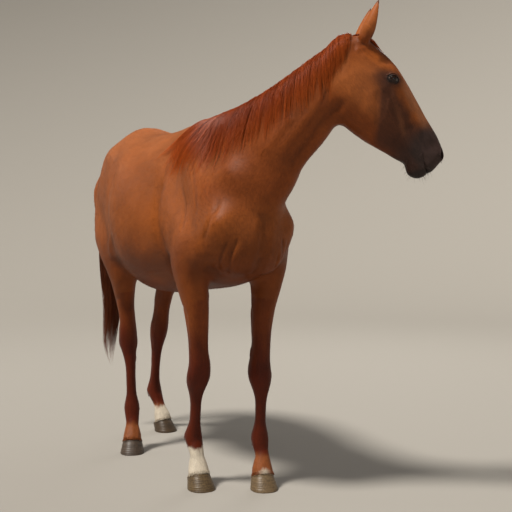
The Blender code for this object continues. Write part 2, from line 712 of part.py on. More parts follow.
def mane_form(tree):
    """A curtain of hair over the crest and down the right side of the neck. tree finds the skin."""
    # crest, then how far the hair hangs below it, then how thick it lies
    rows = smooth_rows(
        (
            (0.250, -1.030, 1.829, 0.050, 0.004),
            (0.230, -1.014, 1.824, 0.120, 0.011),
            (0.196, -0.972, 1.802, 0.160, 0.014),
            (0.148, -0.905, 1.764, 0.175, 0.015),
            (0.102, -0.830, 1.714, 0.190, 0.015),
            (0.066, -0.755, 1.672, 0.200, 0.015),
            (0.034, -0.680, 1.640, 0.205, 0.015),
            (0.014, -0.600, 1.616, 0.215, 0.015),
            (0.004, -0.520, 1.604, 0.235, 0.015),
            (0.000, -0.440, 1.596, 0.215, 0.014),
            (0.000, -0.370, 1.592, 0.150, 0.011),
            (0.000, -0.315, 1.590, 0.060, 0.006),
        ),
        1,
    )
    path = rows[:, :3]
    ahead = np.gradient(path, axis=0)
    rings = []
    for i, (x, y, z, hang, thick) in enumerate(rows):
        right = Vector((ahead[i][1], -ahead[i][0], 0)).normalized()
        right = right if right.x < 0 else -right
        crest = Vector((x, y, z))
        outer, inner = [], []
        for share in (-0.10, 0.0, 0.12, 0.28, 0.48, 0.68, 0.86, 1.0):
            # the hair turns over the crest, then lies on the side of the neck
            start = crest + right * 0.5
            drop = 0.02 + (hang - 0.02) * share if share > 0 else 0.004
            start.z = z - drop
            found = tree.ray_cast(start, -right)[0]
            if share <= 0 or found is None:
                found = crest + right * (0.012 if share == 0 else -0.014)
                up = Vector((0, 0, 1))
                outer.append(found + up * thick * (0.9 if share == 0 else 0.5))
                inner.append(found - up * 0.02 + right * (0.0 if share == 0 else 0.008))
            else:
                spread = thick * (1.0 if share < 0.8 else (0.75 if share < 1 else 0.35))
                outer.append(found + right * spread)
                inner.append(found - right * 0.006)
        rings.append([tuple(p) for p in outer + inner[::-1]])
    return tube("mane", np.array(rings))


def forelock_form():
    """A thin tuft that falls from between the ears on to the forehead."""
    frame = head_frame()
    # place along the face, height out of it, half width, thickness
    rows = smooth_rows(
        (
            (0.004, -0.008, 0.010, 0.016),
            (0.020, 0.008, 0.012, 0.018),
            (0.040, 0.020, 0.014, 0.018),
            (0.080, 0.036, 0.017, 0.016),
            (0.115, 0.046, 0.010, 0.010),
            (0.135, 0.050, 0.003, 0.005),
        ),
        1,
    )
    angle = np.arange(10) * 2 * math.pi / 10
    rings = []
    for along, out, half_width, thick in rows:
        lean = 0.10 * max(0.0, along)
        ring = [(along, out + thick * 0.5 * math.sin(a), lean + half_width * math.cos(a)) for a in angle]
        rings.append([tuple(frame @ Vector(p)) for p in ring])
    return tube("forelock", np.array(rings))


# --- parting -------------------------------------------------------------------------------------


def slab(name, middle, normal, across, long, wide, thick=None):
    """A thin box centred on middle, thin along normal and long along across."""
    normal, across = Vector(normal).normalized(), Vector(across)
    across = (across - normal * across.dot(normal)).normalized()
    turned = Matrix((across, normal.cross(across), normal)).transposed().to_4x4()
    bm = bmesh.new()
    bmesh.ops.create_cube(bm, size=1)
    size = Matrix.Diagonal((long, wide, thick or CUT, 1))
    bmesh.ops.transform(bm, matrix=Matrix.Translation(Vector(middle)) @ turned @ size, verts=bm.verts)
    mesh = bpy.data.meshes.new(name)
    bm.to_mesh(mesh)
    bm.free()
    made = bpy.data.objects.new(name, mesh)
    bpy.context.scene.collection.objects.link(made)
    return made


def blade(name, path, sideways, half_width):
    """A thin bent strip: the path, CUT thick, drawn out sideways."""
    path = np.array([tuple(point) for point in path])
    off = unit(np.cross(np.gradient(path, axis=0), np.array(sideways))) * CUT / 2
    wide = np.array(sideways) * half_width
    rings = [path + off + wide, path - off + wide, path - off - wide, path + off - wide]
    return tube(name, np.stack(rings, axis=1))


def cut_by(obj, cutter, keep=False):
    applied(obj, ("BOOLEAN", {"operation": "DIFFERENCE", "solver": "EXACT", "object": cutter}))
    if not keep:
        bpy.data.objects.remove(cutter)


def grown(obj, distance):
    """A copy of the object swollen along its normals, to be cut from what lies against it."""
    mesh = obj.data.copy()
    points = read_points(mesh)
    normals = np.empty(len(points) * 3)
    mesh.vertices.foreach_get("normal", normals)
    mesh.vertices.foreach_set("co", (points + normals.reshape(-1, 3) * distance).ravel())
    mesh.update()
    made = bpy.data.objects.new("grown", mesh)
    bpy.context.scene.collection.objects.link(made)
    return made


def islands(obj):
    """The object's loose parts, each as an object of its own, largest first."""
    bm = bmesh.new()
    bm.from_mesh(obj.data)
    left, found = set(bm.verts), []
    while left:
        stack = [left.pop()]
        island = set(stack)
        while stack:
            for edge in stack.pop().link_edges:
                for vert in edge.verts:
                    if vert in left:
                        left.remove(vert)
                        island.add(vert)
                        stack.append(vert)
        found.append(island)
    made = []
    for island in found:
        part = bmesh.new()
        new = {vert: part.verts.new(vert.co) for vert in sorted(island, key=lambda v: v.index)}
        for face in bm.faces:
            if face.verts[0] in island:
                part.faces.new([new[vert] for vert in face.verts])
        mesh = bpy.data.meshes.new("piece")
        part.to_mesh(mesh)
        part.free()
        piece = bpy.data.objects.new("piece", mesh)
        bpy.context.scene.collection.objects.link(piece)
        made.append(piece)
    bm.free()
    bpy.data.objects.remove(obj)
    return sorted(made, key=volume, reverse=True)


def volume(obj):
    bm = bmesh.new()
    bm.from_mesh(obj.data)
    found = bm.calc_volume()
    bm.free()
    return found


def largest(obj, name):
    first, *rest = islands(obj)
    for other in rest:
        bpy.data.objects.remove(other)
    first.name = name
    return first


def centre_of(obj):
    return Vector(read_points(obj.data).mean(0))


def part_body(body):
    """Cuts the body with thin slabs where its named pieces meet."""
    frame = head_frame()
    behind_jaw = ((-0.060, 0.080), (0.010, -0.090), (0.080, -0.210), (0.175, -0.262), (0.340, -0.268))
    path = [frame @ Vector((*point, 0)) for point in behind_jaw]
    cut_by(body, blade("cut", path, frame.to_3x3() @ Vector((0, 0, 1)), 0.17))
    over_shoulder = ((0, -0.310, 1.66), (0, -0.480, 1.42), (0, -0.680, 1.24), (0, -0.930, 1.150))
    cut_by(body, blade("cut", [Vector(point) for point in over_shoulder], Vector((1, 0, 0)), 0.35))
    for side in (LEFT, RIGHT):
        for line, knee in ((FORE_LINE, FORE_KNEE), (HIND_LINE, HOCK)):
            for height in (LEG_TOP, knee):
                x, y = (np.interp(height, *np.array(sorted(line[side]))[:, [0, i]].T) for i in (1, 2))
                middle = (x, y, height)
                cut_by(body, slab("cut", middle, (0, 0, 1), (1, 0, 0), LEG_CUT_WIDE, LEG_CUT_LONG))


def name_of(piece):
    """The name of a piece of the body, from where its middle lies."""
    middle = centre_of(piece)
    if middle.z > LEG_TOP:
        if volume(piece) > 0.1:
            return "trunk"
        return "head" if middle.x > 0.20 else "neck"
    side = "left" if middle.x > 0 else "right"
    if middle.y < 0:
        return ("forearm_" if middle.z > FORE_KNEE else "fore_cannon_") + side
    return ("gaskin_" if middle.z > HOCK else "hind_cannon_") + side


def paint(obj, name, colour, rough):
    material = bpy.data.materials.get(name) or bpy.data.materials.new(name)
    material.use_nodes = True
    shader = material.node_tree.nodes["Principled BSDF"]
    shader.inputs["Base Color"].default_value = (*colour, 1)
    shader.inputs["Roughness"].default_value = rough
    shader.inputs["Metallic"].default_value = 0.0
    material.diffuse_color = (*colour, 1)
    obj.data.materials.clear()
    obj.data.materials.append(material)


COLOURS = (
    # start of the piece's name, its own colour, roughness
    ("trunk", (0.40, 0.15, 0.055), 0.45),
    ("neck", (0.37, 0.13, 0.050), 0.45),
    ("head", (0.30, 0.11, 0.045), 0.50),
    ("ear", (0.36, 0.14, 0.060), 0.55),
    ("forearm", (0.30, 0.10, 0.038), 0.45),
    ("gaskin", (0.28, 0.09, 0.036), 0.45),
    ("fore_cannon", (0.18, 0.055, 0.025), 0.50),
    ("hind_cannon", (0.18, 0.055, 0.025), 0.50),
    ("fore_hoof", (0.11, 0.095, 0.080), 0.55),
    ("hind_hoof", (0.10, 0.085, 0.070), 0.55),
    ("eye", (0.010, 0.007, 0.005), 0.05),
    ("mane", (0.26, 0.065, 0.024), 0.50),
    ("forelock", (0.26, 0.065, 0.024), 0.50),
    ("tail", (0.13, 0.035, 0.016), 0.55),
)


def main():
    for obj in list(bpy.data.objects):
        bpy.data.objects.remove(obj)
    body = whole_body()
    few_faces(body)
    swollen = grown(body, CUT / 2)

    made = []
    for side, word in ((LEFT, "left"), (RIGHT, "right")):
        for place, line, end in ((HOOF_FORE, FORE_LINE, "fore"), (HOOF_HIND, HIND_LINE, "hind")):
            frame = hoof_frame(side, place, line)
            made.append(hoof_form(end + "_hoof_" + word, frame))
            normal = frame.to_3x3() @ Vector((-math.sin(CORONET_TILT), 0, math.cos(CORONET_TILT)))
            middle = frame @ Vector((-HEEL_BEHIND, 0, CORONET_HEIGHT)) - normal * FOOT_CUT / 2
            toe = frame.to_3x3() @ Vector((1, 0, 0))
            cut_by(body, slab("cut", middle, normal, toe, LEG_CUT_WIDE, LEG_CUT_WIDE, FOOT_CUT))
        made.append(ball("eye_" + word, eye_centre(side), EYE_RADIUS, 18, 9))
        cut_by(body, ball("socket", eye_centre(side), EYE_RADIUS + CUT / 2, 18, 9))
        ear = ear_form(side)
        cut_by(ear, swollen, keep=True)
        made.append(largest(ear, "ear_" + word))
    tree = BVHTree.FromObject(swollen, bpy.context.evaluated_depsgraph_get())
    cutters = [swollen] + [grown(obj, CUT / 2) for obj in made if obj.name.startswith("ear")]
    for form in (tail_form(), mane_form(tree), forelock_form()):
        for other in cutters:
            cut_by(form, other, keep=True)
        made.append(largest(form, form.name))
        cutters.append(grown(made[-1], CUT / 2))
    for other in cutters:
        bpy.data.objects.remove(other)

    part_body(body)
    for piece in islands(body):
        piece.name = name_of(piece)
        made.append(piece)

    # the frame's origin: on the floor, under the middle of the whole
    points = np.vstack([read_points(obj.data) for obj in made])
    low, high = points.min(0), points.max(0)
    shift = Matrix.Translation((-(low[0] + high[0]) / 2, -(low[1] + high[1]) / 2, -low[2]))
    size = Matrix.Scale(WITHERS_HEIGHT / DRAWN_HEIGHT, 4)
    for obj in made:
        obj.data.name = obj.name
        obj.data.transform(size @ shift)
        for start, colour, rough in COLOURS:
            if obj.name.startswith(start):
                paint(obj, obj.name, colour, rough)


if __name__ == "__main__":
    main()
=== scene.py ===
"""A life-size chestnut riding horse: hide, eyes, horn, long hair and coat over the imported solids."""

import math

import bmesh
import bpy
import numpy as np
from mathutils import Matrix, Vector
from mathutils.bvhtree import BVHTree


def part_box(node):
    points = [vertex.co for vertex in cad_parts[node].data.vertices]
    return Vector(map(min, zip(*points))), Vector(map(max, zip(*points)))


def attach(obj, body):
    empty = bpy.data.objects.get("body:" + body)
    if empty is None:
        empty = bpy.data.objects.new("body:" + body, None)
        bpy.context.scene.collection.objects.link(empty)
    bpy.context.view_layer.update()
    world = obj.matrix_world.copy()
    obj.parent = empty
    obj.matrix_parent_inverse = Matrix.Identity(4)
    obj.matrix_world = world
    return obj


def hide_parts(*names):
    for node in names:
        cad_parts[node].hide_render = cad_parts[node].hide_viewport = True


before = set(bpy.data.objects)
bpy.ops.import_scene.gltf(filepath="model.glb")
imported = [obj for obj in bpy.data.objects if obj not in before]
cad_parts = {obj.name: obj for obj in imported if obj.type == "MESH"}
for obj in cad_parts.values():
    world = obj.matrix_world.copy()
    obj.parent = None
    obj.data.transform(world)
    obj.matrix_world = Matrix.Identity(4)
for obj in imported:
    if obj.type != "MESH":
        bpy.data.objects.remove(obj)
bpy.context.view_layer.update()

# --- Camera, floor and light ---------------------------------------------------------------------
# The horse is seen from its right fore side, from four metres away and at the height of its
# breast, through a 60 mm lens. It stands on a pale floor that bends up all round into a smooth
# wall, under a broad warm lamp from its right and three soft ones.
scene = bpy.context.scene
CAMERA_PLACE = Vector((-1.842, -3.527, 1.050))
CAMERA_AIM = Vector((0.498, 0.867, -0.0184))
FLOOR_RADIUS, WALL_BEND = 8.0, 11.0
FLOOR_AROUND, WALL_RINGS = 96, 22
FLOOR_COLOUR = (0.33, 0.312, 0.285)


def linked(name, data):
    """A new object in the scene."""
    made = bpy.data.objects.new(name, data)
    scene.collection.objects.link(made)
    return made


camera = linked("camera", bpy.data.cameras.new("camera"))
camera.data.lens = 60
camera.data.sensor_width = 36
camera.location = CAMERA_PLACE
camera.rotation_mode = "QUATERNION"
camera.rotation_quaternion = CAMERA_AIM.to_track_quat("-Z", "Y")
scene.camera = camera
scene.view_settings.view_transform = "Standard"


def added(tree, kind, inputs=(), **settings):
    """A new node. inputs gives its sockets, by name or number, a value or another node's output."""
    made = tree.nodes.new(kind)
    for key, value in settings.items():
        setattr(made, key, value)
    for socket, value in dict(inputs).items():
        if isinstance(value, bpy.types.NodeSocket):
            tree.links.new(value, made.inputs[socket])
        else:
            made.inputs[socket].default_value = value
    return made


def output(tree, kind, inputs=(), **settings):
    """The first output of a new node."""
    return added(tree, kind, inputs, **settings).outputs[0]


def principled(name, roughness, specular):
    """A new material and its Principled shader."""
    material = bpy.data.materials.new(name)
    material.use_nodes = True
    shader = material.node_tree.nodes["Principled BSDF"]
    shader.inputs["Roughness"].default_value = roughness
    shader.inputs["Specular IOR Level"].default_value = specular
    return material, shader


def piece_from(name, points, faces, material):
    """An object at the origin made of these points and faces."""
    mesh = bpy.data.meshes.new(name)
    mesh.from_pydata(np.asarray(points, float).tolist(), [], faces)
    mesh.materials.append(material)
    mesh.update()
    mesh.shade_smooth()
    return linked(name, mesh)


def ring_faces(rings, around, inward=False):
    """Faces that join each ring of points to the next, facing out, or in."""
    faces = []
    for k in range(rings - 1):
        for i in range(around):
            here, beside = k * around + i, k * around + (i + 1) % around
            over_here, over_beside = here + around, beside + around
            outer = (here, beside, over_beside, over_here)
            faces.append((here, over_here, over_beside, beside) if inward else outer)
    return faces


floor_paint, shader = principled("floor_paint", 0.7, 0.2)
shader.inputs["Base Color"].default_value = (*FLOOR_COLOUR, 1)
bends = np.linspace(0, 1.5, WALL_RINGS)
rims = [(FLOOR_RADIUS + WALL_BEND * math.sin(a), WALL_BEND * (1 - math.cos(a))) for a in bends]
turns = np.arange(FLOOR_AROUND) * math.tau / FLOOR_AROUND
points = [(r * math.cos(a), r * math.sin(a), z) for r, z in rims for a in turns]
faces = [tuple(range(FLOOR_AROUND))] + ring_faces(WALL_RINGS, FLOOR_AROUND, inward=True)
piece_from("studio_floor", points, faces, floor_paint)

world = bpy.data.worlds.new("studio")
scene.world = world
world.use_nodes = True
background = world.node_tree.nodes["Background"]
background.inputs["Color"].default_value = (1.0, 0.97, 0.93, 1)
background.inputs["Strength"].default_value = 0.18

# kind, place, what it lights, strength, width in metres or degrees, colour
LAMPS = {
    "key": ("SUN", (-2.9, -0.2, 6.0), (-0.1, 0.0, 1.1), 4.3, 11, (1.0, 0.95, 0.87)),
    "fill": ("AREA", (-1.0, -5.5, 2.6), (0.0, -0.4, 1.0), 18, 3.0, (1.0, 0.98, 0.95)),
    "rim": ("AREA", (3.6, 3.2, 4.2), (-0.1, 0.2, 1.2), 60, 2.5, (1.0, 0.97, 0.93)),
    "back": ("AREA", (-3.2, 4.4, 3.4), (-0.1, 0.4, 1.2), 26, 2.5, (1.0, 0.98, 0.95)),
}
for name, (kind, place, target, strength, width, colour) in LAMPS.items():
    lamp = linked(name, bpy.data.lights.new(name, kind))
    lamp.data.energy = strength
    lamp.data.color = colour
    if kind == "SUN":
        lamp.data.angle = math.radians(width)
    else:
        lamp.data.shape = "DISK"
        lamp.data.size = width
    lamp.location = place
    lamp.rotation_mode = "QUATERNION"
    lamp.rotation_quaternion = (Vector(target) - Vector(place)).to_track_quat("-Z", "Y")

# --- Hide ----------------------------------------------------------------------------------------
# One skin covers the head with its ears, the neck, the trunk and the legs down to the hooves. It
# is taken from the solids, joined without seams, and its muscles, veins, lids and lips are worked
# into it. It lies inside the solids by the depth of the short summer coat.
LEFT, RIGHT = 1, -1
NUMBER, VECTOR, COLOUR = "FLOAT", "FLOAT_VECTOR", "FLOAT_COLOR"  # kinds of attribute
WORDS = {LEFT: "left", RIGHT: "right"}
NOT_FLESH = ("eye", "mane", "forelock", "tail", "fore_hoof", "hind_hoof")
FLESH = [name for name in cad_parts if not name.startswith(NOT_FLESH)]
GRID = 0.004  # finest step of the skin before it is refined round the eyes and the muzzle
CLOSE = 0.0008  # how far each solid swells, to close the cuts between them
EAR_CLOSE = 0.0022  # more for the thin ears, so that their rims stay whole
COAT_DEPTH = 0.002
SKIN_TRIANGLES = 186000
HEAD_TURN = math.radians(68)
HEAD_DROP = math.radians(56)
EYE_ALONG, EYE_OUT = 0.216, -0.006  # where the eyes lie from the poll, along and out of the face
BODY_BEHIND = 0.794  # how far the rump lies behind the origin of body coordinates
EAR_EDGE = 0.004  # how far the skin of an ear may lie outside its solid
EAR_ZONE = 0.006  # how far round its solid the skin is drawn and coloured as an ear
EAR_WIDTH = 0.055
LIMB_PARTING = -0.1  # the fore limbs lie ahead of this place, in body coordinates
HEAD_LOW, THROAT = 1.2, -0.33  # the head lies over this height, and further out than the throat


def middle(node):
    low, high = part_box(node)
    return (low + high) / 2


# body coordinates start under the middle of the trunk and keep the frame's directions
trunk_low, trunk_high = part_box("trunk")
BODY = Vector(((trunk_low.x + trunk_high.x) / 2, trunk_high.y - BODY_BEHIND, 0))

# head coordinates run along the face, out of it and to the left, from the poll
eye_middle = {side: middle("eye_" + word) for side, word in WORDS.items()}
eye_low, eye_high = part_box("eye_right")
EYE_RADIUS = (eye_high.z - eye_low.z) / 2
head_left = (eye_middle[LEFT] - eye_middle[RIGHT]).normalized()
level, fall = math.cos(HEAD_DROP), -math.sin(HEAD_DROP)
head_along = Vector((math.sin(HEAD_TURN) * level, -math.cos(HEAD_TURN) * level, fall))
head_out = head_along.cross(head_left).normalized()
head_along = head_left.cross(head_out)
poll = (eye_middle[LEFT] + eye_middle[RIGHT]) / 2 - head_along * EYE_ALONG - head_out * EYE_OUT
HEAD = Matrix.Translation(poll) @ Matrix((head_along, head_out, head_left)).transposed().to_4x4()


def points_of(mesh, what="co"):
    found = np.empty(len(mesh.vertices) * 3, np.float32)
    mesh.vertices.foreach_get(what, found)
    return found.reshape(-1, 3).astype(float)


def set_points(mesh, points):
    mesh.vertices.foreach_set("co", np.ascontiguousarray(points, np.float32).ravel())
    mesh.update()


def normals_of(mesh):
    return points_of(mesh, "normal")


def surface_of(mesh):
    """A tree that finds the nearest places on a mesh, and where lines meet it."""
    return BVHTree.FromPolygons(points_of(mesh).tolist(), [tuple(p.vertices) for p in mesh.polygons])


def nearest_on(surface, points):
    """The nearest place on a surface to each point."""
    return np.array([tuple(surface.find_nearest(Vector(point))[0]) for point in points])


def attribute(mesh, name, kind, values):
    """Writes one value for each point of a mesh."""
    made = mesh.attributes.new(name, kind, "POINT")
    what = {NUMBER: "value", COLOUR: "color", VECTOR: "vector"}[kind]
    made.data.foreach_set(what, np.ascontiguousarray(values, np.float32).ravel())


def in_box(points, low, high, edge):
    """Whether each point lies in this box, or this near it."""
    return ((points > low - edge) & (points < high + edge)).all(1)


def in_body(points):
    """These points in body coordinates."""
    return points - np.array(BODY)


def in_head(points):
    """These points in head coordinates."""
    back = np.array(HEAD.inverted())
    return points @ back[:3, :3].T + back[:3, 3]


def applied(obj):
    """Takes the object's modifiers into its mesh."""
    graph = bpy.context.evaluated_depsgraph_get()
    mesh = bpy.data.meshes.new_from_object(obj.evaluated_get(graph))
    obj.modifiers.clear()
    old, obj.data = obj.data, mesh
    bpy.data.meshes.remove(old)


def taken(obj, kind, **settings):
    """Changes the object's mesh by one modifier."""
    modifier = obj.modifiers.new(kind.lower(), kind)
    for key, value in settings.items():
        setattr(modifier, key, value)
    applied(obj)


def neighbours_middle(values, a, b, degree):
    """For each point, the mean of its neighbours' values."""
    total = [
        np.bincount(a, values[b, k], len(values)) + np.bincount(b, values[a, k], len(values))
        for k in range(values.shape[1])
    ]
    return np.stack(total, 1) / degree


def edges_of(mesh):
    found = np.empty(len(mesh.edges) * 2, np.int32)
    mesh.edges.foreach_get("vertices", found)
    a, b = found.reshape(-1, 2).T
    return a, b, np.maximum(np.bincount(found, minlength=len(mesh.vertices)), 1)[:, None]


def evened(mesh, rounds, share, most=0.0):
    """Smooths the points where the share is over 0.

    The smooth part of what was lost is put back, so that nothing shrinks. With most, nothing is
    put back, and the points move by less than that.
    """
    a, b, _ = edges_of(mesh)
    used = (share[a] > 0) | (share[b] > 0)
    near, ends = np.unique(np.stack((a[used], b[used])), return_inverse=True)
    a, b = ends.reshape(2, -1)
    degree = np.bincount(ends.ravel())[:, None]
    share = share[near, None]
    points = points_of(mesh)
    start = points[near]
    moved = start.copy()
    for _ in range(rounds):
        moved += share * (neighbours_middle(moved, a, b, degree) - moved)
    lost = start - moved
    if most:
        points[near] -= lost * most / (most + np.linalg.norm(lost, axis=1))[:, None]
    else:
        for _ in range(rounds):
            lost += share * (neighbours_middle(lost, a, b, degree) - lost)
        points[near] = moved + lost
    set_points(mesh, points)


def ramp(values, start, end):
    """0 up to start, 1 from end on, and smooth between them."""
    t = np.clip((values - start) / (end - start), 0, 1)
    return t * t * (3 - 2 * t)


def bell(values, middle, width):
    """1 where a value is this middle, falling to 0 at about twice the width from it."""
    return np.exp(-(((values - middle) / width) ** 2))


def smooth_path(path, shares):
    """Places at these shares of the way along a smooth curve through every point of the path."""
    rows = np.array([tuple(point) for point in path], float)
    ends = np.vstack([2 * rows[0] - rows[1], rows, 2 * rows[-1] - rows[-2]])
    along = np.clip(np.asarray(shares, float), 0, 1) * (len(rows) - 1)
    first = np.minimum(along.astype(int), len(rows) - 2)
    t = (along - first)[:, None]
    before, here, there, after = (ends[first + k] for k in range(4))
    return 0.5 * (
        2 * here
        + (there - before) * t
        + (2 * before - 5 * here + 4 * there - after) * t**2
        + (3 * here - before - 3 * there + after) * t**3
    )


flesh = bmesh.new()
for node in FLESH + ["eye_left", "eye_right"]:
    part = bmesh.new()
    part.from_mesh(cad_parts[node].data)
    bmesh.ops.remove_doubles(part, verts=part.verts, dist=0.00001)
    part.normal_update()
    swell = EAR_CLOSE if node.startswith("ear") else CLOSE
    for vert in part.verts:
        vert.co += vert.normal * swell
    swollen = bpy.data.meshes.new("swollen")
    part.to_mesh(swollen)
    part.free()
    flesh.from_mesh(swollen)
mesh = bpy.data.meshes.new("skin")
flesh.to_mesh(mesh)
flesh.free()
skin = linked("skin", mesh)
taken(skin, "REMESH", mode="VOXEL", voxel_size=GRID)

ear_boxes = [[np.array(corner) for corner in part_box("ear_" + word)] for word in WORDS.values()]


def at_ears(points):
    """Whether each point belongs to an ear."""
    return np.any([in_box(points, low, high, EAR_EDGE) for low, high in ear_boxes], axis=0)


points = points_of(skin.data)
along, out, _ = in_head(points).T
on_head = ramp(0.6 * out + along, -0.16, -0.10) * ramp(points[:, 2], 1.25, 1.35)
on_head *= ramp(points[:, 0], 0.02, 0.06)
on_ear = at_ears(points)
share = 0.6 * (0.30 + 0.70 * ramp(points[:, 2], 0.50, 0.95)) * (1 - 0.75 * on_head)
share = np.where(on_ear, 0.10, share)
evened(skin.data, 50, share)

# the thighs run down into the gaskins in one even curve
aside, back, height = in_body(points_of(skin.data)).T
THIGH_BACKS = {
    LEFT: ((0.600, 0.86), (0.640, 0.93), (0.700, 1.00), (0.740, 1.08), (0.765, 1.17), (0.780, 1.24)),
    RIGHT: ((0.430, 0.85), (0.510, 0.93), (0.610, 1.00), (0.680, 1.08), (0.750, 1.16), (0.780, 1.24)),
}
for side, path in THIGH_BACKS.items():
    line = smooth_path([(0, y, z) for y, z in path], np.linspace(0, 1, 40))
    far = np.min([np.hypot(back - y, height - z) for _, y, z in line], axis=0)
    thigh = ramp(-far, -0.110, -0.055) * ramp(side * aside, -0.06, -0.01)
    evened(skin.data, 1200, 0.5 * thigh, most=0.060)
# the neck runs into the breast and the points of the shoulders without a step
breast = ramp(-back, 0.38, 0.50) * ramp(back, -0.94, -0.86) * ramp(np.abs(aside), 0.03, 0.10)
evened(skin.data, 400, 0.5 * breast * ramp(height, 0.98, 1.08) * ramp(-height, -1.50, -1.36))
apart = np.sqrt((np.abs(aside) - 0.170) ** 2 + (back + 0.660) ** 2 + (height - 1.215) ** 2)
evened(skin.data, 350, 0.5 * ramp(-apart, -0.140, -0.050), most=0.040)
# each leg runs evenly from solid to solid
evened(skin.data, 130, 0.5 * ramp(height, 0.12, 0.30) * ramp(-height, -0.90, -0.80))

# the coat's depth, least on the ears, the face and the lower legs
depth = COAT_DEPTH * (0.5 + 0.5 * ramp(points[:, 2], 0.3, 0.9)) * (1 - 0.5 * on_head)
depth = np.where(on_ear, EAR_CLOSE * 0.7, depth + CLOSE)
set_points(skin.data, points_of(skin.data) - normals_of(skin.data) * depth[:, None])


def refined(mesh, chosen):
    """Halves every edge between the chosen points."""
    bm = bmesh.new()
    bm.from_mesh(mesh)
    bm.verts.ensure_lookup_table()
    verts = {bm.verts[i] for i in np.flatnonzero(chosen)}
    touching = {edge for vert in verts for edge in vert.link_edges}
    edges = [edge for edge in touching if verts.issuperset(edge.verts)]
    bmesh.ops.subdivide_edges(bm, edges=edges, cuts=1, use_grid_fill=True)
    bm.to_mesh(mesh)
    bm.free()


# the ears are thinner than the grid can follow, so their skin is drawn on to the smoothed solids
for _ in range(2):
    refined(skin.data, at_ears(points_of(skin.data)))
points = points_of(skin.data)
for word in WORDS.values():
    ear = linked("ear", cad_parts["ear_" + word].data.copy())
    taken(ear, "WELD", merge_threshold=0.00001)
    taken(ear, "SUBSURF", levels=2)
    ear_points, ear_surface = points_of(ear.data), surface_of(ear.data)
    bpy.data.objects.remove(ear)
    low, high = ear_points.min(0), ear_points.max(0)
    near = np.flatnonzero(in_box(points, low, high, EAR_ZONE))
    rise = (points[near, 2] - low[2]) / (high[2] - low[2])
    share = ramp(rise, 0.10, 0.28)[:, None]
    a, b, degree = edges_of(skin.data)
    for eased in (0.5, 0.5, 0.5, 0.0):
        points[near] += (nearest_on(ear_surface, points[near]) - points[near]) * share
        points[near] += eased * (neighbours_middle(points, a, b, degree)[near] - points[near]) * share
set_points(skin.data, points)


def on_ears(points):
    """1 on the ears, 0 elsewhere, rising from their roots."""
    found = np.zeros(len(points))
    for low, high in ear_boxes:
        inside = in_box(points, low, high, EAR_ZONE)
        found = np.maximum(found, inside * ramp(points[:, 2], low[2] + 0.015, low[2] + 0.050))
    return found


def at_head(points):
    """Whether each point is high enough, and far enough from the throat, to be on the head."""
    return (points[:, 2] > HEAD_LOW) & (in_head(points)[:, 1] > THROAT)


def mirrored(side, *path):
    """A path on the body, given for its left side, as places in the frame."""
    return [BODY + Vector((side * x, y, z)) for x, y, z in path]


def on_face(side, *path):
    """A path on the head, given in head coordinates for its left side."""
    return [HEAD @ Vector((along, out, side * aside)) for along, out, aside in path]


def worked(mesh, strokes):
    """Raises or presses the skin along paths, each given as (path, reach, height)."""
    points, normals = points_of(mesh), normals_of(mesh)
    surface = surface_of(mesh)
    shift = np.zeros(len(points))
    for path, reach, height in strokes:
        length = sum((b - a).length for a, b in zip(path, path[1:]))
        shares = np.linspace(0, 1, max(3, math.ceil(length / (0.4 * reach))))
        line = nearest_on(surface, smooth_path(path, shares))
        near = np.flatnonzero(in_box(points, line.min(0), line.max(0), 2.6 * reach))
        apart = np.full(len(near), 1e9)
        share = np.zeros(len(near))
        for point, t in zip(line, shares):
            here = ((points[near] - point) ** 2).sum(1)
            share = np.where(here < apart, t, share)
            apart = np.minimum(apart, here)
        ends = 1
        if length > 4 * reach:
            # a long stroke fades out towards both ends
            ends = ramp(np.minimum(share, 1 - share) * length, -reach, 2.5 * reach)
        shift[near] += height * ends * np.exp(-apart / reach**2)
    set_points(mesh, points + normals * shift[:, None])


def in_limb(points, side, end):
    """Whether each point lies in the quarter of the body that this limb carries."""
    fore, left = points[:, 1] < BODY.y + LIMB_PARTING, points[:, 0] > BODY.x
    return (fore == (end == "fore")) & (left == (side == LEFT))


def limb_middles(side, end):
    """Heights and the middle of a limb at each."""
    points = points_of(skin.data)
    points = points[in_limb(points, side, end)]
    heights = np.arange(0.05, 0.96, 0.01)
    found = []
    for height in heights:
        here = points[np.abs(points[:, 2] - height) < 0.010]
        found.append((here.min(0) + here.max(0)) / 2)
    return heights, np.array(found)


def limb_at(side, end, height):
    """The middle of a limb at this height."""
    heights, middles = LIMB_LINES[side, end]
    return Vector([np.interp(height, heights, middles[:, k]) for k in (0, 1)] + [height])


LIMB_LINES = {}
LIMBS = {}
for side, word in WORDS.items():
    for end in ("fore", "hind"):
        LIMB_LINES[side, end] = limb_middles(side, end)
        fetlock = limb_at(side, end, 0.205)
        toe = middle(f"{end}_hoof_{word}") - fetlock
        toe.z = 0
        toe.normalize()
        LIMBS[side, end] = (toe, Vector((-toe.y, toe.x, 0)) * side)


def beside_limb(points, side, end):
    """How far each point lies from the middle of a limb at its own height, in x and y."""
    heights, middles = LIMB_LINES[side, end]
    away = [points[:, k] - np.interp(points[:, 2], heights, middles[:, k]) for k in (0, 1)]
    return np.stack(away, 1)


def down_limb(side, end, heights, ahead, aside):
    """A path down a limb at these heights, this far ahead of its middle and to its outer side."""
    toe, outer = LIMBS[side, end]
    return [limb_at(side, end, h) + toe * ahead + outer * aside for h in heights]


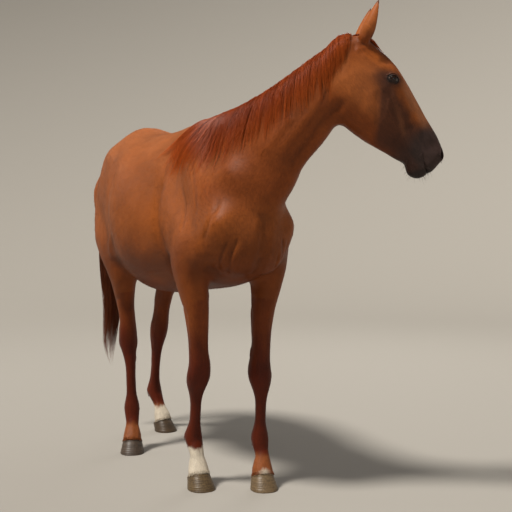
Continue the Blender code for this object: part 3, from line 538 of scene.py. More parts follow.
# muscles, tendons and joints of the limbs: heights, how far ahead of the limb's middle, how far
# outside it (or inside, where it is negative), reach and height
LOWER_LIMB = (
    ((0.39, 0.34, 0.29, 0.25), -0.008, (0.040, -0.040), 0.0060, -0.0030),
    ((0.38, 0.33, 0.28), -0.026, (0.030, -0.030), 0.0045, -0.0018),
    ((0.215, 0.20), -0.030, (0.040, -0.040), 0.011, 0.0025),
    ((0.190, 0.185), -0.070, (0.000,), 0.007, 0.0040),
    ((0.155, 0.12), -0.018, (0.050, -0.050), 0.008, -0.0022),
    ((0.080, 0.055), -0.070, (0.000,), 0.007, -0.0040),
)
LIMB_STROKES = {
    "fore": (
        ((0.92, 0.84, 0.76, 0.68, 0.60), -0.008, (0.060,), 0.011, -0.0030),
        ((0.92, 0.84, 0.76, 0.68, 0.60), -0.008, (-0.060,), 0.011, -0.0025),
        ((0.88, 0.76, 0.64), 0.070, (0.012,), 0.018, 0.0025),
        ((0.50, 0.49), -0.070, (0.004,), 0.014, 0.0045),
        ((0.475, 0.472), 0.060, (0.000,), 0.006, -0.0012),
        ((0.48, 0.47), 0.010, (0.060, -0.060), 0.012, 0.0020),
        ((0.585, 0.565), -0.010, (-0.060,), 0.009, 0.0035),
        *LOWER_LIMB,
    ),
    "hind": (
        ((0.80, 0.74, 0.68, 0.62), 0.000, (0.060,), 0.013, -0.0030),
        ((0.72, 0.66, 0.61), -0.050, (0.030, -0.030), 0.011, -0.0050),
        ((0.54, 0.52), 0.008, (0.060, -0.060), 0.016, 0.0028),
        ((0.70, 0.60, 0.50, 0.44), 0.022, (-0.050,), 0.005, 0.0016),
        ((0.46, 0.445), -0.010, (-0.060,), 0.008, 0.0030),
        *LOWER_LIMB,
    ),
}

strokes = []
for side in (LEFT, RIGHT):
    elbow = {LEFT: -0.455, RIGHT: -0.430}[side]
    stifle = {LEFT: 0.400, RIGHT: 0.290}[side]
    # the fold behind the shoulder, down to the elbow
    shoulder_fold = ((0.225, -0.27, 1.32), (0.235, elbow + 0.15, 1.12), (0.19, elbow + 0.10, 0.95))
    drawn = [
        (shoulder_fold, 0.020, -0.0042),
        # the front edge of the triceps, and the muscle over the shoulder blade
        (((0.185, -0.42, 1.28), (0.215, -0.50, 1.18), (0.225, -0.53, 1.08)), 0.014, -0.0035),
        (((0.170, -0.48, 1.40), (0.205, -0.56, 1.26), (0.215, -0.60, 1.15)), 0.012, -0.0025),
        (((0.215, elbow + 0.02, 1.00), (0.17, elbow + 0.06, 0.92)), 0.012, -0.004),
        # the point of the shoulder
        (((0.160, -0.72, 1.22), (0.185, -0.70, 1.12), (0.190, -0.66, 1.04)), 0.014, -0.004),
        # folds of skin between the breast and the forearm
        (((0.130, -0.74, 1.05), (0.145, -0.70, 0.97), (0.140, -0.66, 0.91)), 0.009, -0.0050),
        (((0.100, -0.77, 1.06), (0.112, -0.73, 0.97), (0.105, -0.68, 0.90)), 0.009, -0.0050),
        (((0.080, -0.77, 1.00), (0.085, -0.73, 0.94)), 0.006, -0.0025),
        # the vein under the belly and the fold of the flank
        (((0.190, -0.22, 0.90), (0.220, 0.00, 0.89), (0.200, 0.18, 0.94)), 0.006, 0.0016),
        (((0.235, 0.15, 1.13), (0.225, 0.24, 1.04), (0.205, stifle - 0.03, 0.96)), 0.020, 0.004),
        # the grooves between the muscles of the thigh
        (((0.130, 0.64, 1.44), (0.175, 0.65, 1.28), (0.185, 0.60, 1.10)), 0.026, -0.0035),
        (((0.090, 0.75, 1.38), (0.125, 0.75, 1.20), (0.130, 0.69, 1.05)), 0.022, -0.0025),
        # the back along the spine
        (((0.004, 0.05, 1.57), (0.004, 0.25, 1.60), (0.004, 0.50, 1.60)), 0.014, -0.0015),
    ]
    # ribs, just showing
    for k in range(7):
        y = -0.16 + 0.056 * k
        rib = ((0.24, y, 1.33), (0.285, y + 0.035, 1.20), (0.27, y + 0.06, 1.02))
        drawn.append((rib, 0.016, 0.0004))
    strokes += [(mirrored(side, *path), reach, height) for path, reach, height in drawn]
    # neck: the groove of the great vein, the muscle above it and folds behind the jaw
    drawn = (
        (((0.185, -0.225, 0.060), (0.225, -0.330, 0.075), (0.30, -0.50, 0.095)), 0.012, -0.004),
        (((0.110, -0.240, 0.070), (0.150, -0.360, 0.085), (0.20, -0.55, 0.10)), 0.022, 0.004),
        (((0.110, -0.225, 0.060), (0.150, -0.275, 0.050)), 0.006, -0.0018),
        (((0.080, -0.220, 0.066), (0.120, -0.290, 0.060)), 0.006, -0.0014),
    )
    strokes += [(on_face(side, *path), reach, height) for path, reach, height in drawn]
    for end, drawn in LIMB_STROKES.items():
        for heights, ahead, asides, reach, height in drawn:
            for aside in asides:
                strokes.append((down_limb(side, end, heights, ahead, aside), reach, height))
worked(skin.data, strokes)

# the face is refined where the lids, the nostrils and the lips are worked
NOSTRIL = (0.562, 0.016, 0.046)
EYE_ZONE, NOSTRIL_ZONE, MUZZLE_START = 0.036, 0.036, 0.500
for level in range(2):
    points = points_of(skin.data)
    head_points = in_head(points)
    fine = (head_points[:, 0] > MUZZLE_START) & (abs(head_points[:, 1]) < 0.2) & (level == 0)
    for side in (LEFT, RIGHT):
        nostril = np.array([*NOSTRIL[:2], side * NOSTRIL[2]])
        fine |= ((head_points - nostril) ** 2).sum(1) < NOSTRIL_ZONE**2
        fine |= ((points - np.array(eye_middle[side])) ** 2).sum(1) < EYE_ZONE**2
    refined(skin.data, fine)


def carved(mesh, place, long_way, outward, reach, height):
    """Gives the skin round a place a new height over its own plane, from height(a, b, now)."""
    outward = Vector(outward).normalized()
    long_way = (Vector(long_way) - outward * outward.dot(long_way)).normalized()
    axes = np.array([long_way, outward.cross(long_way), outward])
    points = points_of(mesh)
    local = (points - np.array(place)) @ axes.T
    near = ((local[:, :2] ** 2).sum(1) < reach**2) & (local[:, 2] > -reach * 0.6)
    a, b, now = local[near].T
    local[near, 2] = height(a, b, now)
    set_points(mesh, local @ axes + np.array(place))


def almond(a, b, length, upper, lower):
    """How far a place lies outside an almond-shaped opening; below 0 it is inside."""
    share = np.clip(np.abs(a) / length, 0, 1)
    edge = np.where(b > 0, upper, lower) * (1 - share**2) ** 0.75
    beside = np.abs(b) - edge
    beyond = np.hypot(np.maximum(np.abs(a) - length, 0), b)
    return np.where(np.abs(a) < length, beside, beyond)


LID_LENGTH, LID_UPPER, LID_LOWER, LID_THICK = 0.0195, 0.0122, 0.0098, 0.0026


def lids(a, b, now):
    """The lids lie on the eyeball round their opening and run out into the face."""
    outside = almond(a, b, LID_LENGTH, LID_UPPER, LID_LOWER)
    across = np.sqrt(np.maximum(EYE_RADIUS**2 - a**2 - b**2, (0.35 * EYE_RADIUS) ** 2))
    on_ball = across + LID_THICK
    face = np.minimum(now, 0.0155 - 6 * np.hypot(a, b) ** 2)
    blend = ramp(outside, 0.003, 0.014)
    lid = on_ball * (1 - blend) + np.minimum(face, on_ball + 0.004) * blend
    away = ramp(np.hypot(a, b), 0.024, EYE_ZONE)
    lid = lid * (1 - away) + now * away
    # the fold of the upper lid, the brow over it and the soft fold under the eye
    lid -= 0.0022 * bell(outside, 0.0062, 0.0017) * ramp(b, 0.000, 0.007) * (1 - away)
    lid += 0.0016 * bell(outside, 0.0115, 0.0040) * ramp(b, 0.002, 0.010) * (1 - away)
    lid -= 0.0011 * bell(outside, 0.0050, 0.0016) * ramp(-b, 0.002, 0.008) * (1 - away)
    inside = ramp(-outside, -0.0001, 0.0009)
    return lid * (1 - inside) + (across - 0.004) * inside


EYE_LONG = head_along * 0.74 + head_out * 0.67
eye_outward = {}
for side in (LEFT, RIGHT):
    eye_outward[side] = (head_left * side + head_out * 0.20 + head_along * 0.10).normalized()
    # the upper lid lies towards the poll, on the far side of the long way from the jaw
    long_way = EYE_LONG * -side
    carved(skin.data, eye_middle[side], long_way, eye_outward[side], EYE_ZONE, lids)


def nostril(a, b, now):
    """A deep comma with a thick soft rim, its wall falling away inside."""
    bent = b - 7.0 * a**2
    outside = almond(a, bent, 0.0215, 0.0065, 0.0065)
    rim = 0.0030 * bell(outside, 0.003, 0.0035)
    hollow = 0.020 * ramp(-outside, -0.0012, 0.0050)
    away = 1 - ramp(np.hypot(a, b), 0.026, NOSTRIL_ZONE)
    return now + (rim - hollow) * away


for side in (LEFT, RIGHT):
    place = on_face(side, NOSTRIL)[0]
    outward = head_left * side + head_out * 0.45 + head_along * 0.35
    carved(skin.data, place, head_along * 0.78 - head_out * 0.63, outward, NOSTRIL_ZONE, nostril)

MOUTH_FRONT = ((0.575, -0.070, 0.036), (0.603, -0.070, 0.0), (0.575, -0.070, -0.036))
strokes = []
for side in (LEFT, RIGHT):
    drawn = (
        # crest of the face, the hollow under it and the edge of the nose bone
        (((0.260, -0.036, 0.080), (0.320, -0.046, 0.066), (0.395, -0.058, 0.056)), 0.0075, 0.0032),
        (((0.300, -0.068, 0.070), (0.380, -0.080, 0.055)), 0.0100, -0.0022),
        (((0.260, 0.040, 0.035), (0.360, 0.043, 0.026), (0.460, 0.042, 0.022)), 0.0080, 0.0012),
        (((0.300, 0.008, 0.062), (0.380, 0.006, 0.050), (0.450, 0.004, 0.046)), 0.0140, -0.0020),
        # front edge of the cheek muscle and the back edge of the jaw
        (((0.215, -0.075, 0.082), (0.265, -0.108, 0.074), (0.335, -0.160, 0.055)), 0.0120, -0.0040),
        (((0.195, -0.100, 0.082), (0.235, -0.130, 0.078), (0.290, -0.175, 0.060)), 0.0180, 0.0025),
        (((0.040, -0.100, 0.070), (0.090, -0.190, 0.065), (0.170, -0.245, 0.050)), 0.0120, 0.0030),
        # veins of the face
        (((0.265, -0.055, 0.080), (0.305, -0.090, 0.070), (0.335, -0.140, 0.060)), 0.0040, 0.0015),
        (((0.290, -0.040, 0.070), (0.360, 0.000, 0.055), (0.420, 0.010, 0.050)), 0.0035, 0.0012),
        (((0.345, -0.020, 0.060), (0.390, -0.045, 0.052), (0.440, -0.060, 0.048)), 0.0035, 0.0010),
        # arch of bone from the eye to the ear, and the hollow over the eye
        (((0.172, -0.014, 0.084), (0.120, -0.030, 0.083), (0.070, -0.045, 0.074)), 0.0090, 0.0025),
        (((0.150, 0.014, 0.066), (0.140, 0.004, 0.070)), 0.0140, -0.0040),
        # the fold of skin over the false nostril
        (((0.515, 0.022, 0.045), (0.470, 0.016, 0.047), (0.430, 0.010, 0.048)), 0.0070, 0.0018),
        (((0.530, 0.006, 0.050), (0.500, 0.000, 0.050)), 0.0060, -0.0020),
        # lips, mouth and chin
        (((0.515, -0.050, 0.050), (0.545, -0.063, 0.047), *MOUTH_FRONT[:2]), 0.0022, -0.0022),
        (((0.550, -0.065, 0.046), *MOUTH_FRONT), 0.0024, -0.0026),
        (((0.540, -0.050, 0.050), (0.575, -0.056, 0.040), (0.600, -0.055, 0.010)), 0.0080, 0.0018),
        (((0.550, -0.082, 0.046), (0.585, -0.086, 0.030), (0.602, -0.086, 0.0)), 0.0070, 0.0018),
        (((0.516, -0.046, 0.050), (0.510, -0.058, 0.050), (0.514, -0.070, 0.047)), 0.0040, -0.0012),
        (((0.506, -0.044, 0.050), (0.500, -0.058, 0.050), (0.504, -0.072, 0.047)), 0.0035, -0.0008),
        (((0.535, -0.105, 0.044), (0.560, -0.106, 0.036), (0.585, -0.104, 0.010)), 0.0060, -0.0016),
        (((0.600, -0.020, 0.000), (0.602, -0.050, 0.000)), 0.0040, -0.0016),
        # muscles at the root of the ear
        (((0.060, -0.020, 0.062), (0.052, -0.050, 0.068)), 0.0090, 0.0022),
        (((0.020, -0.045, 0.062), (0.060, -0.070, 0.070)), 0.0070, -0.0018),
    )
    strokes += [(on_face(side, *path), reach, height) for path, reach, height in drawn]
worked(skin.data, strokes)

kept = SKIN_TRIANGLES / (2 * len(skin.data.polygons))
taken(skin, "DECIMATE", ratio=kept, use_collapse_triangulate=True)
skin.data.shade_smooth()

# colours of the coat, as the share of light that they send back
CHESTNUT = (0.252, 0.065, 0.0105)
# painted highlight: lighter colour where the lamp catches the top of the back and the rump
BACK_HIGHLIGHT = (0.325, 0.098, 0.028)
# the neck's deeper red, darkened further by painted shade under the mane and at the throat
NECK_RED_AND_SHADE = (0.182, 0.041, 0.006)
# painted shade: darker colour low on the trunk, under the belly
BELLY_SHADE = (0.125, 0.028, 0.0045)
UPPER_LEG = (0.150, 0.030, 0.004)
CANNON = (0.076, 0.009, 0.0012)
PASTERN = (0.200, 0.060, 0.018)
WHITE_HAIR = (0.500, 0.440, 0.355)
CHEEK = (0.300, 0.083, 0.018)
FACE_SIDE = (0.052, 0.017, 0.009)
# paler brown of the face's front, lightened further as painted light where it faces up to the lamp
NOSE_PALE_AND_LIT = (0.300, 0.112, 0.046)
MUZZLE = (0.036, 0.020, 0.017)
NOSTRIL_RIM = (0.300, 0.165, 0.135)
BARE = (0.022, 0.014, 0.012)
EAR_INSIDE = (0.170, 0.085, 0.055)


def toward(colour, other, share):
    """Moves each colour this share of the way to another."""
    return colour + (np.array(other) - colour) * np.clip(share, 0, 1)[:, None]


def beside(points, places, reach):
    """1 at any of these places, falling to 0 at about twice the reach."""
    apart = np.min([((points - np.array(place)) ** 2).sum(1) for place in places], axis=0)
    return np.exp(-apart / reach**2)


def wavy(points, size, seed):
    """A smooth random value between about -1 and 1, which changes over this size."""
    random = np.random.default_rng(seed)
    ways = random.normal(0, 1, (7, 3)) * (1.9 / size)
    return sum(np.sin(points @ way + random.uniform(0, 6)) for way in ways) / 3.2


def both_cheeks(place):
    """A place on the head, given for its left side, on the left and on the right."""
    return on_face(LEFT, place) + on_face(RIGHT, place)


def coloured(mesh, colours):
    """Writes the colour of the coat at each point of a mesh."""
    attribute(mesh, "coat", COLOUR, np.c_[colours, np.ones(len(colours))])


def coat_colour(points):
    """The colour of the hair that grows at each place."""
    x, y, z = in_body(points).T
    along, out, left = in_head(points).T
    uneven = wavy(points, 0.05, 3)
    # each colour and its share, from the deepest layer up
    layers = [
        # painted highlight along the top of the back and the rump
        (BACK_HIGHLIGHT, ramp(z + 0.03 * uneven, 1.34, 1.54) * ramp(y, -0.40, 0.0)),
        # painted shade under the belly and low on the barrel
        (BELLY_SHADE, 0.8 * ramp(-z + 0.03 * uneven, -1.16, -0.94) * (np.abs(x) < 0.30)),
        # the neck's deeper red with painted shade under the mane
        (NECK_RED_AND_SHADE, ramp(-y + 0.05 * uneven, 0.45, 0.70) * ramp(z, 1.10, 1.25)),
        (UPPER_LEG, ramp(-z + 0.02 * uneven, -1.00, -0.80)),
        (CANNON, ramp(-z + 0.03 * uneven, -0.72, -0.50)),
    ]
    # a paler line down the outer side of the forearm and the gaskin
    fore = y < LIMB_PARTING
    for (side, end), (_, outer) in LIMBS.items():
        own = in_limb(points, side, end)
        outside = beside_limb(points, side, end) @ np.array(outer)[:2]
        outer_line = ramp(outside, 0.010, 0.045) * ramp(z, 0.62, 0.72) * ramp(-z, -0.95, -0.85)
        layers.append((CHESTNUT, 0.45 * own * outer_line))
    low = -z + 0.006 * wavy(points, 0.02, 8)
    right = points[:, 0] < BODY.x
    # one white sock, one white pastern and a small white patch over the third hoof
    toe = LIMBS[LEFT, "fore"][0]
    patch = limb_at(LEFT, "fore", 0.07) + toe * 0.045
    layers += [
        (PASTERN, np.where(fore, ~right, right) * ramp(low, -0.160, -0.125)),
        (PASTERN, 0.6 * ramp(low, -0.155, -0.140) * np.where(fore, right, ~right)),
        (WHITE_HAIR, (fore & right) * ramp(low, -0.172, -0.163)),
        (WHITE_HAIR, (~fore & ~right) * ramp(low, -0.140, -0.128)),
        (WHITE_HAIR, 1.3 * beside(points, [patch], 0.020) * (low > -0.088)),
    ]
    # head: orange cheek, a dark band from the eye down the side of the face, and a dark muzzle
    head = ramp(along, -0.02, 0.04) * ramp(out, -0.34, -0.28) * (np.abs(left) < 0.16) * (z > 1.15)
    mottled = 0.006 * wavy(points, 0.03, 5)
    cheek = ramp(-np.hypot(along - 0.20, (out + 0.13) * 0.9) + mottled, -0.150, -0.085)
    forehead = ramp(out + mottled, -0.005, 0.030) * ramp(-along, -0.22, -0.12)
    band = ramp(along + mottled, 0.160, 0.230) * ramp(-out + mottled, 0.000, 0.034)
    band *= ramp(out + 0.70 * along, 0.062, 0.104) * ramp(np.abs(left), 0.005, 0.045)
    back_of_eye = bell(along, 0.188, 0.032) * bell(out, -0.036, 0.034)
    # the bridge of the nose is paler, its own colour and painted light where it faces up
    lit_bridge = ramp(out + mottled, -0.012, 0.022) * ramp(along, 0.19, 0.30)
    # paler over the crest of bone below the eye, as painted light on the ridge
    crest_rows = smooth_path(((0.28, -0.04, 0.07), (0.41, -0.07, 0.05)), np.linspace(0, 1, 16))
    crest = [place for row in crest_rows for place in both_cheeks(row)]
    muzzle = ramp(along - 0.25 * np.abs(out + 0.01) + mottled, 0.385, 0.465)
    lips = ramp(along - 0.3 * (out + 0.06), 0.552, 0.585) * ramp(-out, 0.035, 0.060)
    mouth = [place for k in range(4) for place in both_cheeks((0.49 + 0.02 * k, -0.080, 0.046))]
    layers += [
        (CHESTNUT, head * 0.8 * ramp(along - 0.4 * out, 0.05, 0.13)),
        (CHEEK, head * cheek),
        # the throat takes the neck's deeper red with painted shade under the jaw
        (NECK_RED_AND_SHADE, head * ramp(-out + 0.3 * along + mottled, 0.205, 0.270)),
        (FACE_SIDE, 0.45 * head * forehead),
        (FACE_SIDE, 0.85 * head * band),
        (FACE_SIDE, head * back_of_eye * (np.abs(left) > 0.03)),
        # painted light on the bridge of the nose, over its paler colour
        (NOSE_PALE_AND_LIT, 0.85 * head * lit_bridge),
        (NOSE_PALE_AND_LIT, 0.30 * beside(points, crest, 0.011)),
        (MUZZLE, head * muzzle),
        (FACE_SIDE, head * 0.5 * ramp(-out, 0.06, 0.10) * ramp(along, 0.36, 0.42)),
        (BARE, head * lips),
        (BARE, 0.7 * beside(points, mouth, 0.016)),
    ]
    for side in (LEFT, RIGHT):
        eye = np.array(eye_middle[side])
        upward = np.array(eye_outward[side].cross(EYE_LONG * -side))
        apart = np.sqrt(((points - eye) ** 2).sum(1) + 0.9 * ((points - eye) @ upward) ** 2)
        layers += [
            (FACE_SIDE, 0.75 * ramp(-apart, -0.060, -0.028)),
            (BARE, ramp(-apart, -0.0310, -0.0250)),
            (BARE, beside(points, on_face(side, NOSTRIL), 0.017)),
            (NOSTRIL_RIM, 0.6 * beside(points, on_face(side, (0.588, 0.014, 0.036)), 0.009)),
        ]
    # the ears darken at their tips
    for low_ear, high_ear in ear_boxes:
        inside = in_box(points, low_ear, high_ear, EAR_ZONE)
        tip = (z - low_ear[2]) / (high_ear[2] - low_ear[2])
        layers += [(CHEEK, inside * ramp(tip, 0.10, 0.35)), (FACE_SIDE, inside * ramp(tip, 0.84, 1.0))]
    colour = np.tile(CHESTNUT, (len(points), 1))
    for other, share in layers:
        colour = toward(colour, other, share)
    return colour * (1 + 0.10 * wavy(points, 0.11, 21) + 0.05 * wavy(points, 0.02, 22))[:, None]


def combed(points):
    """Coordinates whose x runs across the hair and whose z runs along it, for fine streaks."""
    x, y, z = in_body(points).T
    along, out, left = in_head(points).T
    trunk = np.stack([0.5 * y + 0.87 * z, x, 0.87 * y - 0.5 * z], 1)
    leg = np.stack([x, y, z], 1)
    neck = np.stack([0.75 * z + 0.66 * y, x, 0.75 * y - 0.66 * z], 1)
    face = np.stack([left, out, along], 1)
    low = ramp(-z, -0.95, -0.80)[:, None]
    front = (ramp(-y, 0.45, 0.60) * ramp(z, 1.10, 1.25))[:, None]
    head = (np.maximum(ramp(along, -0.02, 0.05), on_ears(points)) * at_head(points))[:, None]
    made = trunk * (1 - front) + neck * front
    made = made * (1 - low) + leg * low
    return made * (1 - head) + face * head


points = points_of(skin.data)
a, b, degree = edges_of(skin.data)
blurred = points
for _ in range(30):
    blurred = blurred + 0.5 * (neighbours_middle(blurred, a, b, degree) - blurred)
# painted shade darkens the hollows a little, and painted light brightens the ridges
hollow = np.clip(((blurred - points) * normals_of(skin.data)).sum(1) / 0.0016, -1, 1)
# the hollows of the ears are the places that face another wall of the same ear
ear_hollow = np.zeros(len(points))
hide_surface = surface_of(skin.data)
for low, high in ear_boxes:
    above_root = points[:, 2] > low[2] + 0.02
    for index in np.flatnonzero(in_box(points, low, high, EAR_EDGE) & above_root):
        way = Vector(skin.data.vertices[index].normal)
        met = hide_surface.ray_cast(Vector(points[index]) + way * 0.001, way, EAR_WIDTH)[0]
        ear_hollow[index] = met is not None
for _ in range(2):
    ear_hollow = neighbours_middle(ear_hollow[:, None], a, b, degree)[:, 0]
shown = toward(coat_colour(points), EAR_INSIDE, 0.8 * ear_hollow)
# painted shade in the hollows and painted light on the ridges
shown = shown * (1 - 0.22 * np.maximum(hollow, 0) + 0.06 * np.maximum(-hollow, 0))[:, None]
coloured(skin.data, np.clip(shown, 0, 1))
attribute(skin.data, "comb", VECTOR, combed(points))
along, out, left = in_head(points).T
bareness = ramp(along, 0.50, 0.56) * (points[:, 2] > HEAD_LOW) * (np.abs(left) < 0.08)
for side in (LEFT, RIGHT):
    bareness = np.maximum(bareness, beside(points, [eye_middle[side]], 0.024))
attribute(skin.data, "bare", NUMBER, bareness)
nap = 0.45 - 0.2 * ramp(along, 0.02, 0.12) * at_head(points) - 0.3 * on_ears(points)
attribute(skin.data, "nap", NUMBER, np.clip(nap, 0.1, 1))


def read(tree, name, what="Fac"):
    """An attribute of the mesh, as Fac, Color or Vector."""
    return added(tree, "ShaderNodeAttribute", attribute_name=name).outputs[what]


def stretched(tree, vector, times):
    """A vector with each of its parts made so many times longer."""
    return output(tree, "ShaderNodeMapping", {"Vector": vector, "Scale": times})


def noise(tree, vector, scale, detail):
    """Smooth random values, which change the faster the higher the scale."""
    inputs = {"Vector": vector, "Scale": scale, "Detail": detail}
    return added(tree, "ShaderNodeTexNoise", inputs).outputs["Fac"]


def ranged(tree, value, old, new=(0, 1)):
    """A value moved from its old range to a new one."""
    names = ("From Min", "From Max", "To Min", "To Max")
    return output(tree, "ShaderNodeMapRange", {"Value": value, **dict(zip(names, (*old, *new)))})


def combined(tree, operation, a, b, kind="ShaderNodeMath"):
    """The sum of two values, their product or what another operation makes of them."""
    return output(tree, kind, {0: a, 1: b}, operation=operation)


def scaled(tree, vector, times):
    """A vector made so many times longer, or a colour so many times lighter."""
    inputs = {0: vector, "Scale": times}
    return output(tree, "ShaderNodeVectorMath", inputs, operation="SCALE")


def bumped(tree, height, strength, distance):
    """The normal of a surface with this height over it."""
    inputs = {"Height": height, "Strength": strength, "Distance": distance}
    return output(tree, "ShaderNodeBump", inputs)


hide, shader = principled("hide", 0.48, 0.18)
tree = hide.node_tree
comb = read(tree, "comb", "Vector")
hairs = noise(tree, stretched(tree, comb, (900, 900, 75)), 1.0, 2.0)
locks = noise(tree, stretched(tree, comb, (130, 130, 26)), 1.0, 3.0)
pores = noise(tree, comb, 520.0, 3.0)
fine_shade = ranged(tree, hairs, (0.25, 0.75), (0.74, 1.26))
broad_shade = ranged(tree, locks, (0.3, 0.7), (0.90, 1.10))
shade = combined(tree, "MULTIPLY", fine_shade, broad_shade)
tree.links.new(scaled(tree, read(tree, "coat", "Color"), shade), shader.inputs["Base Color"])
hair_height = combined(tree, "ADD", hairs, locks)
inputs = {"Factor": read(tree, "bare"), 2: hair_height, 3: pores}
height = output(tree, "ShaderNodeMix", inputs)
tree.links.new(bumped(tree, height, read(tree, "nap"), 0.0009), shader.inputs["Normal"])
tree.links.new(ranged(tree, locks, (0, 1), (0.42, 0.56)), shader.inputs["Roughness"])
skin.data.materials.clear()
skin.data.materials.append(hide)
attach(skin, "root")
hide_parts(*FLESH)

# --- Eyes ----------------------------------------------------------------------------------------
# Each eye is a wet ball with a bulging clear front, a dark brown iris and the long level pupil of
# a grazing animal. It sits in the socket behind the lids.
PUPIL, IRIS = (0.0076, 0.0034), (0.0142, 0.0125)  # half their length and height


def mixed(tree, share, first, second):
    """A colour this share of the way from the first to the second."""
    ends = [(*end, 1) if isinstance(end, tuple) else end for end in (first, second)]
    inputs = {"Factor": share, 6: ends[0], 7: ends[1]}
    return added(tree, "ShaderNodeMix", inputs, data_type="RGBA").outputs[2]


def from_oval(tree, vector, half_sizes):
    """0 in the middle of an oval and 1 on its rim."""
    flat = stretched(tree, vector, (1 / half_sizes[0], 1 / half_sizes[1], 0))
    return added(tree, "ShaderNodeVectorMath", {0: flat}, operation="LENGTH").outputs["Value"]


eye_shine, shader = principled("eye", 0.35, 0.1)
tree = eye_shine.node_tree
look = read(tree, "look", "Vector")
from_pupil, from_iris = from_oval(tree, look, PUPIL), from_oval(tree, look, IRIS)
iris = mixed(tree, noise(tree, look, 700.0, 3.0), (0.008, 0.003, 0.0015), (0.036, 0.013, 0.005))
seen = mixed(tree, ranged(tree, from_pupil, (0.85, 1.15)), (0.002, 0.002, 0.003), iris)
# a dark ring round the iris, and the white beyond it
seen = mixed(tree, ranged(tree, from_iris, (0.80, 1.0)), seen, (0.008, 0.005, 0.004))
seen = mixed(tree, ranged(tree, from_iris, (1.12, 1.25)), seen, (0.20, 0.13, 0.10))
tree.links.new(seen, shader.inputs["Base Color"])
shader.inputs["Coat Weight"].default_value = 1.0
shader.inputs["Coat Roughness"].default_value = 0.03
shader.inputs["Coat IOR"].default_value = 1.34
for side, word in WORDS.items():
    outward = eye_outward[side]
    bm = bmesh.new()
    bmesh.ops.create_uvsphere(bm, u_segments=64, v_segments=48, radius=EYE_RADIUS)
    for vert in bm.verts:
        lean = vert.co.normalized().dot(outward)
        vert.co += vert.co.normalized() * 0.0012 * max(0.0, (lean - 0.80) / 0.20) ** 0.7
        vert.co += eye_middle[side]
    mesh = bpy.data.meshes.new("eyeball_" + word)
    bm.to_mesh(mesh)
    bm.free()
    mesh.materials.append(eye_shine)
    mesh.shade_smooth()
    # the pupil lies level, whatever way the head is held
    level = Vector((0, 0, 1)).cross(outward).normalized()
    from_eye = points_of(mesh) - np.array(eye_middle[side])
    axes = np.array((level, outward.cross(level), outward))
    look = from_eye @ axes.T
    look[:, :2] = np.where(look[:, 2:] > 0, look[:, :2], 0.05)
    attribute(mesh, "look", VECTOR, look)
    ball = linked("eyeball_" + word, mesh)
    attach(ball, "root")
    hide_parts("eye_" + word)

# --- Hooves --------------------------------------------------------------------------------------
# Each hoof is a cone of horn round the toe, worn flat to stand on. Rings of growth run round it
# and fine tubes run down it. A softer band of new horn fills the join with the hide.
HOOF_AROUND, HOOF_RINGS = 72, 44
CORONET = 0.051  # height of the upper rim over the middle of the foot
CORONET_TILT = math.radians(19.5)
HEEL_BEHIND = 0.029
SOLE_HOLLOW = 0.005
HORN = {
    ("fore", LEFT): ((0.170, 0.112, 0.056), (0.080, 0.052, 0.027)),
    ("fore", RIGHT): ((0.130, 0.086, 0.040), (0.058, 0.036, 0.018)),
    ("hind", LEFT): ((0.072, 0.045, 0.024), (0.034, 0.021, 0.012)),
    ("hind", RIGHT): ((0.078, 0.052, 0.036), (0.036, 0.025, 0.018)),
}


def horn_material(name, light, dark):
    """Horn with streaks down it and rings of growth round it, duller on some rings than on others."""
    material, shader = principled(name, 0.42, 0.4)
    tree = material.node_tree
    place = added(tree, "ShaderNodeTexCoord").outputs["Object"]
    streaks = noise(tree, stretched(tree, place, (210, 210, 9)), 1, 3)
    rings = noise(tree, stretched(tree, place, (10, 10, 260)), 1, 2)
    both = combined(tree, "ADD", streaks, rings)
    colour = mixed(tree, ranged(tree, both, (0.75, 1.25)), light, dark)
    tree.links.new(colour, shader.inputs["Base Color"])
    tree.links.new(ranged(tree, rings, (0, 1), (0.30, 0.62)), shader.inputs["Roughness"])
    tree.links.new(bumped(tree, both, 0.35, 0.0006), shader.inputs["Normal"])
    return material


def horn_rim(rise, proud):
    """The rim of a hoof at this share of its height, in the hoof's own axes."""
    angle = np.arange(HOOF_AROUND) * math.tau / HOOF_AROUND
    half_length = 0.0455 + 0.0150 * (1 - rise) + proud
    half_width = 0.0460 + 0.0125 * (1 - rise) + proud
    x = -HEEL_BEHIND + 0.034 * (1 - rise) + np.cos(angle) * half_length
    y = np.sign(np.sin(angle)) * np.abs(np.sin(angle)) ** 0.85 * half_width
    top = CORONET + (x + HEEL_BEHIND) * math.tan(CORONET_TILT)
    return np.stack([x, y, rise * top], axis=1)


